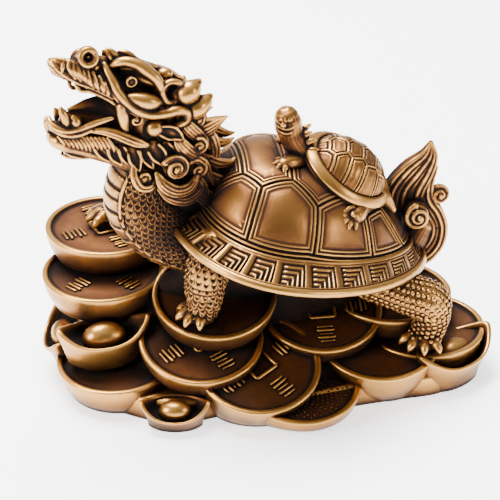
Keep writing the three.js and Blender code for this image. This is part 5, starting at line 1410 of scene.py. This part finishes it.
small = {
    "at": (23, -3.6, 65.6), "pitch": 35, "roll": 18, "halfLength": 14.8, "halfWidth": 12.7, "height": 7.6,
    "fullness": 2.2, "steepness": 0.75, "rimShare": 0.8, "rimHeight": 1.4, "plateShare": 0.79, "rows": 60,
    "columns": 300, "firstRow": 0.02, "rowsCrowd": 1.4, "edgeSteps": 30, "grain": 0.26, "triangles": 60000,
    "neckAndHead": [[13.6, -2.6, 68.2, 4.4], [10.4, -2.5, 71.4, 3.8], [8.2, -2.5, 74.4, 3.4],
        [6.9, -2.5, 77, 3.4], [6.3, -2.5, 79.2, 3.8], [5.9, -2.5, 81.2, 3.9], [5.6, -2.5, 82.4, 3.6]],
    "tail": [[30, -5.4, 60, 2.6], [33.4, -6, 56.8, 2.2], [36, -6, 53, 1]],
    "limbs": [
        [[14, -5, 68.6, 2.6], [10, -5.4, 69.8, 1.9], [6.4, -7, 70.8, 2.2], [4, -8, 70.8, 2.1]],
        [[17, 2.5, 70.6, 2.6], [12.5, 4.4, 71.4, 2.2], [8.6, 5.8, 71, 2.5], [5.6, 6.4, 70.6, 1.7]],
        [[26.6, -10.2, 58.2, 2.4], [25, -12.8, 57.6, 2.6], [23.6, -15.2, 57.3, 2.6],
            [22.6, -16.4, 57.2, 2.3]],
        [[28, 4, 59.6, 3], [27.4, 8.6, 58.6, 3], [26, 11, 57, 2.8], [24, 12.6, 56.4, 1.8]],
    ],
    # toes as [from, to, radius], a fan on each near paw
    "toes": [
        [(4.2, -7.6, 71.2), (2, -5.4, 71.4), 0.9],
        [(4, -8, 71.2), (1, -7.4, 71), 1],
        [(4, -8.4, 71), (1.6, -9.6, 70.4), 1],
        [(4.6, -8.8, 70.8), (3.6, -11, 70), 1],
        [(20.8, -16.8, 58.6), (18.4, -17, 59.6), 0.9],
        [(20.8, -17.2, 58.2), (18, -18.6, 58.4), 0.9],
        [(21, -17.6, 57.6), (18.8, -19.8, 57), 0.9],
        [(21.6, -17.8, 57), (20.4, -20.4, 55.8), 0.9],
        [(22.6, -17.6, 56.6), (22.6, -19.8, 55.2), 0.9],
    ],
    # short tufts between the neck and the shell
    "frill": [[(9.4, -3, 76), (12.4, -3.4, 78), 1.1], [(9.8, -3.8, 74.4), (13.6, -4.6, 76), 1.1],
        [(10.4, -4.6, 72.4), (14, -5.8, 73.6), 1.1], [(9.6, -1.6, 77), (12.6, -1, 79.2), 1],
        [(10, -4.8, 70.8), (13.4, -7, 71.2), 1]],
    "belly": ((0, 0, -5), (10, 8, 5)),
    # the face looks ahead and to the left; its eyes are swirls: [place, way they look, way round]
    "eyes": [((3.7, -4.9, 83), (-0.56, -0.62, 0.4), 1), ((5.8, -5.5, 83.4), (0.03, -0.8, 0.5), -1)],
    "eyeCurl": {"size": 1.35, "turns": 1.1, "start": 200},
    "nose": ((4.1, -6, 82), (0.9, 0.7, 0.8)),
    "lips": [
        [(2.6, -5, 81.3, 0.2), (4.2, -6.3, 80.9, 0.3), (5.8, -6.5, 81, 0.3), (7.4, -5.9, 81.4, 0.2)],
        [(2.7, -4.8, 79.8, 0.15), (4.4, -6.1, 79.4, 0.3), (6.2, -6.2, 79.6, 0.3), (8, -5.4, 80.4, 0.15)],
    ],
    "hipCurl": ((22, -17.2, 58), (0.3, -0.75, 0.6), (0, 0, 1), 3.1, 1.3, 60, 1, 3),
    # the rim and the underside of its shell: [share, height, relief]
    "rim": [(0.803, 1.1, -0.9), (0.812, 1.5, 0), (0.83, 1.9, 0.6), (0.87, 1.7, 0.4), (0.93, 1.1, 0.4),
        (0.98, 0.5, 0.6), (1, 0, 0.8), (0.998, -0.4, 0.4), (0.975, -0.7, -0.2), (0.965, -1.0, -0.6),
        (0.975, -1.3, 0.1), (0.96, -1.8, -0.2), (0.9, -2.6, -0.5), (0.6, -4.6, -1)],
}
smallPitch = Matrix.Rotation(math.radians(small["pitch"]), 4, "Y")
smallRoll = Matrix.Rotation(math.radians(small["roll"]), 4, "X")
smallMatrix = Matrix.Translation(small["at"]) @ smallPitch @ smallRoll
# the plates' corners on the shell's plan, along and across, and where an edge from one meets the rim
smallCorner = {"a": (-9.6, 2.2), "b": (-8, 3.6), "c": (-5, 2.2), "d": (-3.4, 3.6), "e": (-0.2, 2.2),
    "f": (1.4, 3.6), "g": (4.6, 2.2), "h": (6, 3.2), "i": (8.8, 1.8)}
smallRimAngle = {"b": 130, "d": 107, "f": 83, "h": 52, "i": 14}
smallFront = (-11.2, 1.6)
# along each plate's edge: [distance, height] of its moulding, and [distance, relief] of the wash
smallMoulding = [(0, 0.3), (0.22, 0.26), (0.42, -0.18), (0.62, -0.1), (0.85, 0.22), (1.05, 0.1), (1.5, 0),
    (4, 0.22)]
smallRelief = [(0, 0.5), (0.25, 0.4), (0.45, -0.9), (0.6, -0.7), (0.85, 0.5), (1.2, 0), (3, 0.2)]


def smallHeight(x, y):
    s = small
    share = np.hypot(x / s["halfLength"], y / s["halfWidth"]) / s["rimShare"]
    swell = np.maximum(0, 1 - share ** s["fullness"]) ** s["steepness"]
    return s["rimHeight"] + (s["height"] - s["rimHeight"]) * swell


def smallEdges():
    s, c = small, smallCorner
    chain = list(c.values())
    edges = list(zip(chain, chain[1:])) + [(c["a"], smallFront)]
    halfX, halfY = s["halfLength"] * s["plateShare"], s["halfWidth"] * s["plateShare"]
    for name, degrees in smallRimAngle.items():
        angle = math.radians(degrees)
        edges.append((c[name], (halfX * math.cos(angle), halfY * math.sin(angle))))
    return edges + mirrored(edges) + [((x, y), (x, -y)) for x, y in (c[name] for name in "acegi")]


def makeSmallShell():
    s = small
    spots = edgeSpots(smallEdges(), s["edgeSteps"])
    angle = circle(s["columns"])
    out = (1 - (1 - np.linspace(s["firstRow"], 1, s["rows"])) ** s["rowsCrowd"])[:, None]
    x = s["halfLength"] * s["rimShare"] * out * np.cos(angle)
    y = s["halfWidth"] * s["rimShare"] * out * np.sin(angle)
    away = np.stack([x, y], -1).reshape(-1, 1, 2) - spots[None]
    near = np.sqrt((away**2).sum(-1).min(1)).reshape(x.shape)
    dome = np.stack([x, y, smallHeight(x, y) + np.interp(near, *zip(*smallMoulding))], -1)
    rim = [oval(angle, s["halfLength"] * share, s["halfWidth"] * share, z) for share, z, _ in s["rim"]]
    domeLevel = np.interp(near, *zip(*smallRelief)).ravel()
    rimLevel = np.repeat([relief for *_, relief in s["rim"]], len(angle))
    level = np.concatenate([domeLevel, rimLevel, [0.3, -1]])
    formPiece("small_turtle_shell", levelled(skin(moved(smallMatrix, np.concatenate([dome, rim]))), level))


def makeSmallBody():
    s = small
    forms = [strand(points, 20, face=(0, 1, 0)) for points in s["limbs"] + [s["tail"], s["neckAndHead"]]]
    place, radii = s["belly"]
    forms.append(blob(moved(smallMatrix, place), radii))
    for start, end, r in s["toes"] + s["frill"]:
        middle = (np.array(start) + end) / 2 + (0, 0, 0.3)
        forms.append(strand([(*start, r * 0.8), (*middle, r), (*end, r * 0.4)], 10))
    for eye, out, hand in s["eyes"]:
        forms += curlForms(eye, out, (0, 0, 1), hand=hand, many=1, **s["eyeCurl"])
    forms.append(blob(*s["nose"], sides=10))
    forms += [strand(lip, 8) for lip in s["lips"]]
    forms += curlForms(*s["hipCurl"])
    cast("small_turtle_body", forms, s)


makeCoinMarks(makeHeap())
makeHead()
makeNeck()
makeLegs()
makeTail()
makeSmallShell()
makeSmallBody()
print("all pieces made")
